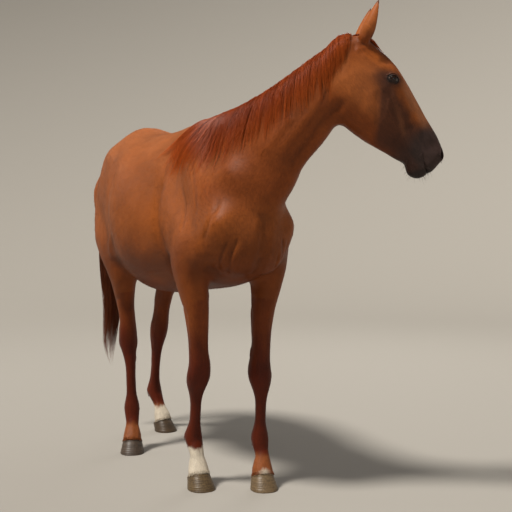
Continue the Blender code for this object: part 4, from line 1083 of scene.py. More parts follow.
for (end, side), (light, dark) in HORN.items():
    name = f"{end}_hoof_{WORDS[side]}"
    solid = points_of(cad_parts[name].data)
    sole = solid[solid[:, 2] < 0.001]
    sole_middle = (sole.min(0) + sole.max(0)) / 2
    toe = np.array(LIMBS[side, end][0])
    across = np.array((-toe[1], toe[0], 0))
    # the middle of the foot lies a little behind the middle of its sole
    start = sole_middle - 0.005 * toe
    random = np.random.default_rng(11 + side + 3 * (end == "hind"))
    depths = random.uniform(-0.0004, 0.0005, 9)
    rings = []
    for rise in np.linspace(0, 1, HOOF_RINGS):
        growth = np.interp(rise * 8, np.arange(9), depths) + 0.00035 * math.sin(rise * 55)
        band = 0.0016 * bell(rise, 0.95, 0.05)
        worn = -0.0020 * max(0.0, 1 - rise / 0.05)
        rings.append(horn_rim(rise, growth + band + worn))
    # the sole is a little hollow, and the top runs up inside the hide
    hollow = (0, 0, SOLE_HOLLOW)
    lower = [horn_rim(0, -0.044) + hollow, horn_rim(0, -0.016) + hollow, horn_rim(0, -0.010)]
    upper = [horn_rim(1, -0.006) + (0, 0, 0.004), horn_rim(1, -0.030) + (0, 0, 0.010)]
    rings = lower + rings + upper
    local = np.concatenate(rings)
    local[:, 2] = np.maximum(local[:, 2], 0)
    placed = local[:, :1] * toe + local[:, 1:2] * across + local[:, 2:] * (0, 0, 1)
    placed += (start[0], start[1], 0)
    faces = ring_faces(len(rings), HOOF_AROUND)
    faces.append(tuple(range(HOOF_AROUND))[::-1])
    faces.append(tuple(range(len(placed) - HOOF_AROUND, len(placed))))
    look = horn_material("horn_" + name, light, dark)
    horn = piece_from(f"horn_{end}_{WORDS[side]}", placed, faces, look)
    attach(horn, "root")
    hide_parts(name)

# --- Mane ----------------------------------------------------------------------------------------
# The mane grows along the crest and falls straight down the right side of the neck. It lies in
# locks of coarse hair, which are short behind the ears. Over the withers they thin out and sweep
# back.
MANE_LOCKS, LOCK_POINTS = 250, 12
STRANDS, STRAND_WIDTH = 10, 0.0009
PATCH = 0.003  # size of a hair's patch on the map of the coat
LEG_TOP = 0.92  # height to which the map counts a leg
# the line of the crest seen from above, from the poll to the withers
CREST = ((0.250, -1.030), (0.196, -0.972), (0.102, -0.830), (0.034, -0.680))
CREST += ((0.004, -0.520), (0.0, -0.400), (0.0, -0.315))
HANG = (0.090, 0.205, 0.240, 0.260, 0.300, 0.285, 0.165)  # how far the mane falls at each place
SWEEP = (-0.10, -0.06, 0.00, 0.02, 0.06, 0.45, 0.85)  # how far back it runs as it falls
# what the trees read and no material does
SPARE_ATTRIBUTES = ("sideways", "outward", "spread", "spot", "around", "dense")
SPARE_ATTRIBUTES += ("lie", "long", "patch", "comb", "bare", "nap")


def turn_of(aside, below):
    """How far round a line each place lies, from 0 to 1 for a whole turn."""
    return np.arctan2(aside, below) / math.tau + 0.5


def unwrapped(points):
    """Each place's own spot on a flat map of the hide.

    The trunk, the neck, the head and the four legs have a quarter of the map each.
    """
    x, y, z = in_body(points).T
    along, out, left = in_head(points).T
    u = 0.02 + 0.46 * turn_of(x, 1.20 - z)
    v = 0.02 + 0.46 * np.clip((y + 0.85) / 1.70, 0, 1)
    # the neck is wound round a line from the withers to the poll
    share = np.clip(-(y + 0.30) / 0.75, 0, 1)
    axis_x, axis_z = 0.27 * share**2.2, 1.28 + 0.42 * share
    neck = (y < -0.45) & (z > 1.15)
    u = np.where(neck, 0.52 + 0.46 * turn_of(x - axis_x, axis_z - z), u)
    v = np.where(neck, 0.02 + 0.46 * share, v)
    head = at_head(points) & (along > -0.06) & (along < 0.75) & (np.abs(left) < 0.17)
    u = np.where(head, 0.52 + 0.46 * turn_of(left, -out - 0.06), u)
    v = np.where(head, 0.52 + 0.46 * np.clip((along + 0.06) / 0.75, 0, 1), v)
    for k, (side, end) in enumerate(LIMBS):
        leg = (z < LEG_TOP) & in_limb(points, side, end)
        around = turn_of(*beside_limb(points, side, end).T)
        u = np.where(leg, 0.02 + 0.12 * k + 0.11 * around, u)
        v = np.where(leg, 0.52 + 0.46 * np.clip(z / LEG_TOP, 0, 1), v)
    return np.stack([u, v], 1)


def lock_lines(name, locks):
    """One line for each lock, given as (points, sideways, outward, spread, root, tone)."""
    rows = [np.asarray(lock[0]) for lock in locks]
    ends = np.cumsum([len(row) for row in rows])
    edges = [(i, i + 1) for end, row in zip(ends, rows) for i in range(end - len(row), end - 1)]
    mesh = bpy.data.meshes.new(name)
    mesh.from_pydata(np.concatenate(rows).tolist(), edges, [])
    count = [len(row) for row in rows]
    spots = np.c_[unwrapped(np.array([lock[4] for lock in locks])), np.zeros(len(locks))]
    attribute(mesh, "sideways", VECTOR, np.concatenate([lock[1] for lock in locks]))
    attribute(mesh, "outward", VECTOR, np.concatenate([lock[2] for lock in locks]))
    attribute(mesh, "spread", NUMBER, np.concatenate([lock[3] for lock in locks]))
    attribute(mesh, "spot", VECTOR, np.repeat(spots, count, axis=0))
    attribute(mesh, "tone", NUMBER, np.repeat([lock[5] for lock in locks], count))
    return linked(name, mesh)


def lock_of(points, outs, widths, root=None):
    """One lock along these points.

    The widths are half its width at the root, what it gains in the middle and what it loses
    towards the tip.
    """
    points, outs = np.array(points), np.array(outs)
    sideways = np.cross(outs, np.gradient(points, axis=0))
    sideways /= np.maximum(np.linalg.norm(sideways, axis=1), 1e-9)[:, None]
    t = np.linspace(0, 1, len(points))
    start, gain, loss = widths
    spread = start + gain * np.sin(math.pi * t) - loss * t
    return points, sideways, outs, spread, points[0] if root is None else root, random.uniform(0, 1)


def tools_for(tree):
    """Short ways to add the commonest nodes to a tree."""

    def math_of(operation, a, b, kind="ShaderNodeMath"):
        return combined(tree, operation, a, b, kind)

    def product(first, *others):
        for other in others:
            first = math_of("MULTIPLY", first, other)
        return first

    def times(vector, scale):
        return scaled(tree, vector, scale)

    def named(name, kind=NUMBER):
        return output(tree, "GeometryNodeInputNamedAttribute", {"Name": name}, data_type=kind)

    def stored(shape, name, kind, domain, value):
        inputs = {"Geometry": shape, "Name": name, "Value": value}
        return output(tree, "GeometryNodeStoreNamedAttribute", inputs, data_type=kind, domain=domain)

    def joined(*vectors):
        total = vectors[0]
        for vector in vectors[1:]:
            total = math_of("ADD", total, vector, "ShaderNodeVectorMath")
        return total

    return math_of, product, times, named, stored, joined


def tree_with(name, sockets):
    """A Geometry Nodes tree with these inputs, and the outputs of its input node."""
    tree = bpy.data.node_groups.new(name, "GeometryNodeTree")
    for label, kind in sockets:
        tree.interface.new_socket(label, in_out="INPUT", socket_type="NodeSocket" + kind)
    tree.interface.new_socket("Made", in_out="OUTPUT", socket_type="NodeSocketGeometry")
    return tree, added(tree, "NodeGroupInput").outputs


def end_tree(tree, shape, spot, hair):
    """Ends a tree with the place of each corner on the map, real geometry and its material."""
    inputs = {"Geometry": shape, "Name": "OFBake", "Value": spot}
    kinds = {"data_type": "FLOAT2", "domain": "CORNER"}
    shape = output(tree, "GeometryNodeStoreNamedAttribute", inputs, **kinds)
    shape = output(tree, "GeometryNodeRealizeInstances", {0: shape})
    shape = output(tree, "GeometryNodeSetMaterial", {"Geometry": shape, "Material": hair})
    added(tree, "NodeGroupOutput", {0: shape})
    return tree


def strand_tree():
    """Geometry Nodes that grow many tapered strands round the line of each lock."""
    sockets = (("Locks", "Geometry"), ("Strands", "Int"), ("Points", "Int"), ("Width", "Float"))
    sockets += (("Frizz", "Float"), ("Shortest", "Float"), ("Seed", "Int"), ("Hair", "Material"))
    tree, given = tree_with("strands", sockets)
    math_of, product, times, named, stored, joined = tools_for(tree)
    lines = output(tree, "GeometryNodeMeshToCurve", {0: given["Locks"]})
    lines = output(tree, "GeometryNodeResampleCurve", {0: lines, "Count": given["Points"]})
    inputs = {"Geometry": lines, "Amount": given["Strands"]}
    lines = output(tree, "GeometryNodeDuplicateElements", inputs, domain="SPLINE")
    inputs = {"Min": (-1, -1, 0), "Max": (1, 1, 1), "Seed": given["Seed"]}
    chance = output(tree, "FunctionNodeRandomValue", inputs, data_type=VECTOR)
    # one value for the whole of a strand
    own = output(tree, "GeometryNodeFieldOnDomain", {0: chance}, data_type=VECTOR, domain="CURVE")
    lines = stored(lines, "own", VECTOR, "CURVE", own)
    own = named("own", VECTOR)
    parts = added(tree, "ShaderNodeSeparateXYZ", {0: own}).outputs
    along = added(tree, "GeometryNodeSplineParameter").outputs["Factor"]
    spread = named("spread")
    aside = times(named("sideways", VECTOR), product(parts[0], spread))
    lift = times(named("outward", VECTOR), product(spread, 0.5, parts[1]))
    # every strand wanders on its own, more towards its tip
    drift = output(tree, "ShaderNodeCombineXYZ", {0: product(along, 2.2)})
    inputs = {"Vector": joined(times(own, 31.7), drift), "Scale": 1.0, "Detail": 2.0}
    wander = added(tree, "ShaderNodeTexNoise", inputs).outputs["Color"]
    wander = math_of("SUBTRACT", wander, (0.5, 0.5, 0.5), "ShaderNodeVectorMath")
    moved = joined(aside, lift, times(wander, product(along, given["Frizz"], 2)))
    lines = output(tree, "GeometryNodeSetPosition", {"Geometry": lines, "Offset": moved})
    rest = math_of("SUBTRACT", 1, given["Shortest"])
    last = math_of("ADD", given["Shortest"], product(rest, parts[2]))
    lines = output(tree, "GeometryNodeTrimCurve", {"Curve": lines, "End": last})
    lines = stored(lines, "along", NUMBER, "POINT", along)
    # three-sided strands, which taper to the tip
    outline = output(tree, "GeometryNodeCurvePrimitiveCircle", {"Resolution": 3, "Radius": 1.0})
    third = math_of("DIVIDE", output(tree, "GeometryNodeInputIndex"), 3)
    outline = stored(outline, "around", NUMBER, "POINT", third)
    thin = math_of("SUBTRACT", 1.08, math_of("POWER", along, 2.5))
    fine = math_of("ADD", 0.7, product(parts[2], 0.6))
    radius = product(thin, fine, product(given["Width"], 0.5))
    inputs = {"Curve": lines, "Profile Curve": outline, "Scale": radius, "Fill Caps": True}
    strands = output(tree, "GeometryNodeCurveToMesh", inputs)
    strands = output(tree, "GeometryNodeSetShadeSmooth", {0: strands})
    inputs = {
        0: product(math_of("SUBTRACT", named("along"), 0.5), PATCH),
        1: product(math_of("SUBTRACT", named("around"), 0.33), PATCH),
    }
    patch = output(tree, "ShaderNodeCombineXYZ", inputs)
    return end_tree(tree, strands, joined(named("spot", VECTOR), patch), given["Hair"])


def grown(obj, tree, **inputs):
    """Runs Geometry Nodes on the object with these inputs and keeps the mesh they make."""
    modifier = obj.modifiers.new("grown", "NODES")
    modifier.node_group = tree
    for item in tree.interface.items_tree:
        if item.in_out == "INPUT" and item.name in inputs:
            modifier[item.identifier] = inputs[item.name]
    applied(obj)
    for spare in SPARE_ATTRIBUTES:
        if spare in obj.data.attributes:
            obj.data.attributes.remove(obj.data.attributes[spare])


def own_chance(tree):
    """A random value from 0 to 1 that each strand has for itself."""
    return added(tree, "ShaderNodeSeparateXYZ", {0: read(tree, "own", "Vector")}).outputs[2]


def hair_material(name, dark, light, tip):
    """Hair whose strands differ in shade and whose tips are bleached."""
    material, shader = principled(name, 0.42, 0.22)
    tree = material.node_tree
    shade = combined(tree, "ADD", own_chance(tree), read(tree, "tone"))
    colour = mixed(tree, combined(tree, "MULTIPLY", shade, 0.5), dark, light)
    ends = ranged(tree, read(tree, "along"), (0.55, 1), (0, 0.6))
    tree.links.new(mixed(tree, ends, colour, tip), shader.inputs["Base Color"])
    return material


def cast(start, way):
    """Where a line meets the hide, and the hide's normal there, or None."""
    place, normal, _, _ = hide_surface.ray_cast(Vector(start), Vector(way).normalized())
    return None if place is None else (np.array(place), np.array(normal))


random = np.random.default_rng(5)
strands_tree = strand_tree()
MANE_SHADES = (0.155, 0.022, 0.003), (0.530, 0.094, 0.012), (0.58, 0.13, 0.02)
mane_hair = hair_material("mane_hair", *MANE_SHADES)
shares = np.linspace(0, 1, 200)
crest = smooth_path([(x, y, 0) for x, y in CREST], shares) + np.array(BODY)
crest_ahead = np.gradient(crest, axis=0)


def mane_lock(share, layer):
    """A lock from this share of the way along the crest. Layer 0 lies on the neck, 1 over that."""
    row = np.array([np.interp(share, shares, crest[:, k]) for k in range(3)])
    ahead = np.array([np.interp(share, shares, crest_ahead[:, k]) for k in range(3)])
    right = np.array((ahead[1], -ahead[0], 0))
    right /= -np.linalg.norm(right) if right[0] > 0 else np.linalg.norm(right)
    place = share * (len(HANG) - 1)
    last = max(0.0, (share - 0.80) / 0.20)
    hang = np.interp(place, range(len(HANG)), HANG) * random.uniform(0.78 - 0.35 * last, 1.04)
    sweep = np.interp(place, range(len(HANG)), SWEEP) + random.normal(0, 0.05 + 0.15 * last)
    first = max(0.0, 1 - share / 0.10)
    hang *= 1 - first * random.uniform(0, 0.7)
    sweep += first * random.uniform(-0.30, 0.25)
    if random.uniform() < 0.75 * last:
        return None
    back = np.array((0, 1.0, 0))
    offset = random.uniform(-0.016, 0.002) if layer else random.uniform(0.000, 0.018)
    thick = 0.0035 + 0.0040 * layer + random.uniform(0, 0.003)
    found = cast(row + right * offset + (0, 0, 3), (0, 0, -1))
    if found is None:
        return None
    root = found[0]
    points, outs = [root - (0, 0, 0.005)], [np.array((0, 0, 1.0))]
    ridge = cast(row + right * 0.006 + (0, 0, 3), (0, 0, -1))
    steps = max(1, round((0.012 - offset) / 0.006))
    for t in np.linspace(0, 1, steps + 1)[1:]:
        found = cast(row + right * (offset + (0.014 - offset) * t) + (0, 0, 3), (0, 0, -1))
        points.append(found[0] + (0, 0, thick * (0.25 + 0.55 * t)))
        outs.append(found[1])
    top = ridge[0][2]
    wave = random.uniform(0, math.tau)
    for t in np.linspace(0.08, 1, LOCK_POINTS - 2):
        drop = 0.008 + (hang - 0.008) * t
        level = row + back * (sweep * drop + 0.003 * math.sin(wave + 5 * t))
        start = level + right * 0.6
        start[2] = top - drop
        found = cast(start, -right)
        if found is None:
            break
        lifted = thick * (1.1 - 0.5 * t) + 0.004 * math.sin(math.pi * t) * layer
        points.append(found[0] + found[1] * lifted)
        outs.append(found[1])
    if len(points) < 6:
        return None
    points = np.array(points)
    for _ in range(2):
        points[1:-1] += 0.5 * ((points[2:] + points[:-2]) / 2 - points[1:-1])
    return lock_of(points, outs, (0.0030, 0.0050, 0.0010), root)


manes = []
for layer, name in enumerate(("mane_under", "mane_over")):
    chosen = (np.arange(MANE_LOCKS) + random.uniform(0, 1, MANE_LOCKS)) / MANE_LOCKS
    locks = [lock for lock in (mane_lock(share, layer) for share in chosen) if lock]
    mane = lock_lines(name, locks)
    settings = {"Strands": STRANDS, "Points": LOCK_POINTS, "Width": STRAND_WIDTH, "Frizz": 0.004}
    grown(mane, strands_tree, **settings, Shortest=0.7, Seed=3 + layer, Hair=mane_hair)
    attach(mane, "root")
    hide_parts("mane")
    manes.append(mane)

# --- Forelock ------------------------------------------------------------------------------------
# A small tuft of the mane's coarse hair grows from the poll between the ears. It lies on the
# forehead, a little to the left, and ends above the eyes.
FORELOCK_LOCKS, FORELOCK_POINTS = 34, 11
FORELOCK_LONG = 0.135
locks = []
for _ in range(FORELOCK_LOCKS):
    aside = random.normal(0, 0.006)
    start_along = random.uniform(-0.012, 0.030)
    long = FORELOCK_LONG * random.uniform(0.65, 1.0) - start_along
    wave = random.uniform(0, math.tau)
    lift = random.uniform(0.001, 0.006)
    points, outs = [], []
    for t in np.linspace(0, 1, FORELOCK_POINTS):
        along = start_along + long * t
        left = aside * (1 + 0.8 * math.sin(math.pi * t)) + 0.012 * t + 0.002 * math.sin(wave + 6 * t)
        start = HEAD @ Vector((along, 0.25, left))
        found = cast(start, -head_out)
        if found is None:
            continue
        arch = 0.010 * math.sin(math.pi * min(1, t * 1.3)) * (0.5 + lift * 80)
        lifted = lift * min(1, t * 5) + arch
        points.append(found[0] + found[1] * (lifted - 0.003 * (t == 0)))
        outs.append(found[1])
    locks.append(lock_of(points, outs, (0.0035, 0.0020, 0.0020)))
forelock = lock_lines("forelock_hair", locks)
settings = {"Strands": 12, "Points": FORELOCK_POINTS, "Width": STRAND_WIDTH, "Frizz": 0.003}
grown(forelock, strands_tree, **settings, Shortest=0.7, Seed=7, Hair=mane_hair)
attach(forelock, "root")
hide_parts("forelock")

# --- Tail ----------------------------------------------------------------------------------------
# The fleshy dock carries hair all round. It falls straight behind the hocks, dark and coarse, and
# thins to a few long strands.
TAIL_LOCKS = 270
DOCK_START, DOCK_END = -0.05, 0.34  # as shares of the tail
DOCK_AROUND, DOCK_RINGS = 24, 24
DOCK_SHARE = 0.50  # of the hair's width
DOCK_SKIN = (0.05, 0.018, 0.008)
# place, half the width and half the depth of the hair, from the root of the tail downwards
TAIL = (
    (0.000, 0.730, 1.480, 0.022, 0.020),
    (-0.004, 0.815, 1.415, 0.033, 0.027),
    (-0.020, 0.846, 1.300, 0.046, 0.036),
    (-0.034, 0.844, 1.150, 0.057, 0.042),
    (-0.038, 0.838, 1.000, 0.061, 0.043),
    (-0.030, 0.832, 0.850, 0.059, 0.041),
    (-0.022, 0.830, 0.700, 0.053, 0.037),
    (-0.030, 0.832, 0.560, 0.050, 0.028),
    (-0.040, 0.828, 0.460, 0.048, 0.022),
    (-0.030, 0.824, 0.345, 0.008, 0.005),
)
TAIL_LINE = [row[:3] for row in TAIL]


def tail_ring(share, angle, out):
    """A place in the tail, this share of the way down it and so far out towards its surface."""
    before, here, after = smooth_path(TAIL_LINE, [share - 0.01, share, share + 0.01])
    place = share * (len(TAIL) - 1)
    wide, deep = (np.interp(place, range(len(TAIL)), [row[k] for row in TAIL]) for k in (3, 4))
    wide_way = np.array((1, 0, 0))
    deep_way = np.cross(after - before, wide_way)
    deep_way /= np.linalg.norm(deep_way)
    around = math.cos(angle) * wide * wide_way + math.sin(angle) * deep * deep_way
    return here + np.array(BODY) + out * around


rings = []
dock_shares = np.linspace(DOCK_START, DOCK_END, DOCK_RINGS)
for share in dock_shares:
    # the dock narrows towards its tip, and into the rump
    close = DOCK_SHARE * min(1, 6 * (DOCK_END - share) / DOCK_END + 0.15)
    close *= 0.45 + 0.55 * ramp(share, DOCK_START, 0.06)
    turns = np.arange(DOCK_AROUND) * math.tau / DOCK_AROUND
    ring = np.array([tail_ring(max(share, 0), turn, close) for turn in turns])
    rings.append(ring + min(share, 0) * np.array((0, 1.4, -0.3)))
points = np.concatenate(rings)
faces = ring_faces(DOCK_RINGS, DOCK_AROUND, inward=True)
faces.append(tuple(range(DOCK_AROUND)))
faces.append(tuple(range(len(points) - DOCK_AROUND, len(points)))[::-1])
dock = piece_from("dock", points, faces, hide)
shade = ramp(np.repeat(dock_shares, DOCK_AROUND), 0.02, 0.12)
coloured(dock.data, toward(coat_colour(points), DOCK_SKIN, shade))
attribute(dock.data, "comb", VECTOR, combed(points))
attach(dock, "root")
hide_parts("tail")

TAIL_SHADES = (0.032, 0.009, 0.004), (0.140, 0.032, 0.010), (0.24, 0.055, 0.016)
tail_hair = hair_material("tail_hair", *TAIL_SHADES)
locks = []
for _ in range(TAIL_LOCKS):
    root = DOCK_END * random.uniform(0, 1) ** 1.3
    tip = random.uniform(0.78, 0.93) if random.uniform() < 0.8 else random.uniform(0.93, 1.0)
    angle = random.uniform(0, math.tau)
    far = math.sqrt(random.uniform(0.08, 1.0)) * 0.92
    near = DOCK_SHARE + random.uniform(0.03, 0.32)
    start = DOCK_SHARE * 0.9
    turn_by = random.normal(0, 0.5)
    points = []
    for t in np.linspace(0, 1, 13):
        share = root + (tip - root) * t
        out = start + (near - start) * min(1, 8 * t)
        out += (far - out) * ramp(share, DOCK_END - 0.05, DOCK_END + 0.20)
        out *= 1 - 0.25 * max(0, t - 0.7) / 0.3
        points.append(tail_ring(share, angle + turn_by * t, out))
    outs = [(math.cos(angle), math.sin(angle), 0)] * len(points)
    locks.append(lock_of(points, outs, (0.0060, 0.0050, 0.0040)))
tail = lock_lines("tail_hair", locks)
settings = {"Strands": 9, "Points": 14, "Width": 0.0013, "Frizz": 0.007}
grown(tail, strands_tree, **settings, Shortest=0.75, Seed=9, Hair=tail_hair)
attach(tail, "root")
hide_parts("tail")

# --- Coat ----------------------------------------------------------------------------------------
# The short summer coat lies flat along the body, backwards and down. It is made of small tapered
# tufts whose tips stand a little off the hide, shortest on the muzzle, longest under the belly.
TUFT_SIDES = 3
TUFT_TILT = 0.07  # rise of a tuft for its length
ROOT_DEPTH = 0.0006
POLL_HEIGHT = 1.83  # all that is higher belongs to the head


def hair_lie(points, normals):
    """The way the hair points at each place, along the hide."""
    _, y, z = in_body(points).T
    along = in_head(points)[:, 0]
    way = np.tile((0.0, 0.85, -0.50), (len(points), 1))
    way = toward(way, (0.0, 0.55, -0.80), ramp(-y, 0.45, 0.60) * ramp(z, 1.10, 1.25))
    way = toward(way, (0.0, 0.15, -1.0), ramp(-y, 0.55, 0.70) * ramp(-z, -1.25, -1.15))
    way = toward(way, (0.0, 0.05, -1.0), ramp(-z, -1.00, -0.85))
    face = np.array(head_along) * 0.9 + np.array(head_out) * -0.45
    way = toward(way, face, ramp(along, 0.02, 0.08) * at_head(points))
    way = toward(way, (0.0, -0.1, 1.0), on_ears(points))
    way = way + 0.16 * np.stack([wavy(points, 0.16, seed) for seed in (31, 32, 33)], 1)
    way -= normals * (way * normals).sum(1)[:, None]
    return way / np.maximum(np.linalg.norm(way, axis=1), 1e-6)[:, None]


def hair_length(points, normals):
    """The length of the coat at each place."""
    z, along = points[:, 2], in_head(points)[:, 0]
    head = ramp(along, -0.02, 0.05) * at_head(points)
    long = 0.0170 - 0.0060 * ramp(-z, -0.95, -0.60)
    long = long + 0.0060 * ramp(-normals[:, 2], 0.5, 0.9) * ramp(z, 0.80, 0.85) * (z < 1.05)
    long = long * (1 - head) + 0.0075 * head
    long = np.where(head > 0.5, long - 0.0040 * ramp(along, 0.35, 0.50), long)
    return np.where(on_ears(points) > 0.3, 0.0050, long)


def tuft_tree():
    """Geometry Nodes that set a small bent cone on the hide for every tuft, along its lie."""
    sockets = (("Hide", "Geometry"), ("Density", "Float"), ("Width", "Float"), ("Tilt", "Float"))
    tree, given = tree_with("tufts", sockets + (("Seed", "Int"), ("Hair", "Material")))
    math_of, product, times, named, stored, joined = tools_for(tree)
    density = product(named("dense"), given["Density"])
    inputs = {"Mesh": given["Hide"], "Density": density, "Seed": given["Seed"]}
    method = {"distribute_method": "RANDOM"}
    spread = added(tree, "GeometryNodeDistributePointsOnFaces", inputs, **method).outputs
    inputs = {"Min": (-1, -1, 0), "Max": (1, 1, 1), "Seed": given["Seed"]}
    chance = output(tree, "FunctionNodeRandomValue", inputs, data_type=VECTOR)
    roots = stored(spread[0], "own", VECTOR, "POINT", chance)
    roots = stored(roots, "up", VECTOR, "POINT", spread[1])
    own, up, lie = (named(name, VECTOR) for name in ("own", "up", "lie"))
    parts = added(tree, "ShaderNodeSeparateXYZ", {0: own}).outputs
    across = math_of("CROSS_PRODUCT", up, lie, "ShaderNodeVectorMath")
    tilt = product(given["Tilt"], math_of("ADD", 0.7, parts[2]))
    way = joined(lie, times(across, product(parts[0], 0.22)), times(up, tilt))
    inputs = {"Primary Axis": way, "Secondary Axis": up}
    turn = output(tree, "FunctionNodeAxesToRotation", inputs, primary_axis="Z", secondary_axis="X")
    # the cone runs up its own z; its middle bows away from the hide
    inputs = {"Vertices": TUFT_SIDES, "Side Segments": 2}
    inputs |= {"Radius Top": 0.0, "Radius Bottom": 0.5, "Depth": 1.0}
    cone = added(tree, "GeometryNodeMeshCone", inputs).outputs["Mesh"]
    place = output(tree, "GeometryNodeInputPosition")
    xyz = added(tree, "ShaderNodeSeparateXYZ", {0: place}).outputs
    bow = product(xyz[2], math_of("SUBTRACT", 1, xyz[2]), 0.25)
    flat = math_of("ADD", product(xyz[0], 0.45), bow)
    bent = output(tree, "ShaderNodeCombineXYZ", {0: flat, 1: xyz[1], 2: xyz[2]})
    cone = output(tree, "GeometryNodeSetPosition", {"Geometry": cone, "Position": bent})
    patch = output(tree, "ShaderNodeCombineXYZ", {0: math_of("SUBTRACT", xyz[2], 0.5), 1: xyz[1]})
    cone = stored(cone, "patch", VECTOR, "POINT", times(patch, PATCH))
    cone = output(tree, "GeometryNodeSetShadeSmooth", {0: cone})
    long = product(named("long"), math_of("ADD", 0.7, product(parts[2], 0.6)))
    wide = product(given["Width"], math_of("ADD", 1.0, product(parts[1], 0.35)))
    size = output(tree, "ShaderNodeCombineXYZ", {0: wide, 1: wide, 2: long})
    inputs = {"Geometry": roots, "Offset": times(up, -ROOT_DEPTH)}
    roots = output(tree, "GeometryNodeSetPosition", inputs)
    inputs = {"Points": roots, "Instance": cone, "Rotation": turn, "Scale": size}
    tufts = output(tree, "GeometryNodeInstanceOnPoints", inputs)
    tufts = output(tree, "GeometryNodeRealizeInstances", {0: tufts})
    spot = joined(named("spot", VECTOR), named("patch", VECTOR))
    return end_tree(tree, tufts, spot, given["Hair"])


def coat_coloured(name, darkest, lightest):
    """Hair of the coat's own colour, each strand this many times as light, and its shader."""
    material, shader = principled(name, 0.48, 0.18)
    tree = material.node_tree
    shade = ranged(tree, own_chance(tree), (0, 1), (darkest, lightest))
    tree.links.new(scaled(tree, read(tree, "coat", "Color"), shade), shader.inputs["Base Color"])
    return material, shader


# the tufts are painted lighter than the hide under them, painted light that offsets the shade they
# cast on themselves
coat_hair, shader = coat_coloured("coat_hair", 0.95, 1.30)
tree = coat_hair.node_tree
# tufts catch the light mostly as the hide under them does
up = scaled(tree, read(tree, "up", "Vector"), 4.0)
own_normal = added(tree, "ShaderNodeNewGeometry").outputs["Normal"]
facing = output(tree, "ShaderNodeVectorMath", {0: up, 1: own_normal}, operation="ADD")
facing = output(tree, "ShaderNodeVectorMath", {0: facing}, operation="NORMALIZE")
tree.links.new(facing, shader.inputs["Normal"])

points, normals = points_of(skin.data), normals_of(skin.data)
spots = np.c_[unwrapped(points), np.zeros(len(points))]
x, y, z = in_body(points).T
along, out, left = in_head(points).T
on_head = (ramp(along, -0.02, 0.05) * at_head(points) > 0.5) | (z > POLL_HEIGHT)
on_neck = ~on_head & (y < -0.45) & (z > 1.10)
on_leg = (z < 0.90) & ~on_head
on_trunk = ~on_head & ~on_neck & ~on_leg
# denser where the hide is seen edge on: along the back and the belly, the breast and the rump
_, endways, upwards = np.abs(normals).T
edge_of_form = 1 + 0.8 * ramp(upwards, 0.75, 0.95) + 0.5 * ramp(endways, 0.8, 0.95)
# none where the mane covers the neck, on the lids, the lips or where the hoof grips the hide
under_mane = np.zeros(len(points))
for mane in manes:
    mane_surface = surface_of(mane.data)
    for index in np.flatnonzero(on_neck):
        way = Vector(normals[index])
        if mane_surface.ray_cast(Vector(points[index]) + way * 0.002, way, 0.05)[0]:
            under_mane[index] = 1
under_mane = neighbours_middle(under_mane[:, None], *edges_of(skin.data))[:, 0] > 0.6
open_skin = np.clip(1.2 - 1.2 * bareness, 0, 1) * ramp(z, 0.035, 0.05)
# where, tufts to the square metre, width of a tuft
COATS = {
    "coat_left": (on_trunk & (x > 0), 13600, 0.0014),
    "coat_right": (on_trunk & (x <= 0), 14000, 0.0014),
    "coat_neck": (on_neck & ~under_mane, 14500, 0.0014),
    "coat_head": (on_head & (ear_hollow < 0.5), 33000, 0.0009),
    "coat_forelegs": (on_leg & (y < LIMB_PARTING), 17000, 0.0012),
    "coat_hindlegs": (on_leg & (y >= LIMB_PARTING), 17000, 0.0012),
}
lie, long = hair_lie(points, normals), hair_length(points, normals)
tufts_tree = tuft_tree()
for number, (name, (where, density, width)) in enumerate(COATS.items()):
    coat_piece = linked(name, skin.data.copy())
    attribute(coat_piece.data, "dense", NUMBER, where * edge_of_form * open_skin)
    attribute(coat_piece.data, "lie", VECTOR, lie)
    attribute(coat_piece.data, "long", NUMBER, long)
    attribute(coat_piece.data, "spot", VECTOR, spots)
    settings = {"Density": density, "Width": width, "Tilt": TUFT_TILT, "Seed": 40 + number}
    grown(coat_piece, tufts_tree, **settings, Hair=coat_hair)
    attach(coat_piece, "root")
    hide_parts(*FLESH)

# --- Whiskers, lashes and feather ----------------------------------------------------------------
# Stiff whiskers stand out round the lips and the chin. Lashes fringe the upper lids, pale hairs
# fill the mouths of the ears, and longer coat hangs behind the fetlocks and over the coronets.
HAIR_POINTS = 6
WHISKER_COLOUR = (0.05, 0.03, 0.025)
LASH_COLOUR = (0.02, 0.012, 0.01)
EAR_HAIR_COLOUR = (0.32, 0.20, 0.13)
random = np.random.default_rng(12)


def single_hair(root, way, fall, long):
    """A line from the root that starts one way and bends towards another."""
    t = np.linspace(0, 1, HAIR_POINTS)[:, None]
    way, fall = (np.array(v) / np.linalg.norm(v) for v in (way, fall))
    points = np.array(root) + long * (way * t + 0.5 * (fall - way) * t**2) - 0.001 * way
    outs = np.tile(way, (HAIR_POINTS, 1)) + 0.001
    sideways = np.cross(outs, (0.31, 0.52, 0.79))
    sideways /= np.linalg.norm(sideways, axis=1)[:, None]
    spread = np.full(HAIR_POINTS, 0.0022)
    return points, sideways, outs, spread, np.array(root), random.uniform(0, 1)


def painted(obj, colours):
    """Gives each of the lines its own colour of hair."""
    coloured(obj.data, np.repeat(colours, len(obj.data.vertices) // len(colours), axis=0))


line_hair, _ = coat_coloured("line_hair", 0.8, 1.3)

# root on the hide, way out, way the tip falls, length and colour of each hair
hairs = []
chin = (along > 0.50) & on_head & (out < -0.055) & (np.abs(left) < 0.055)
lip = (along > 0.54) & on_head & (out > -0.05) & (out < 0.01)
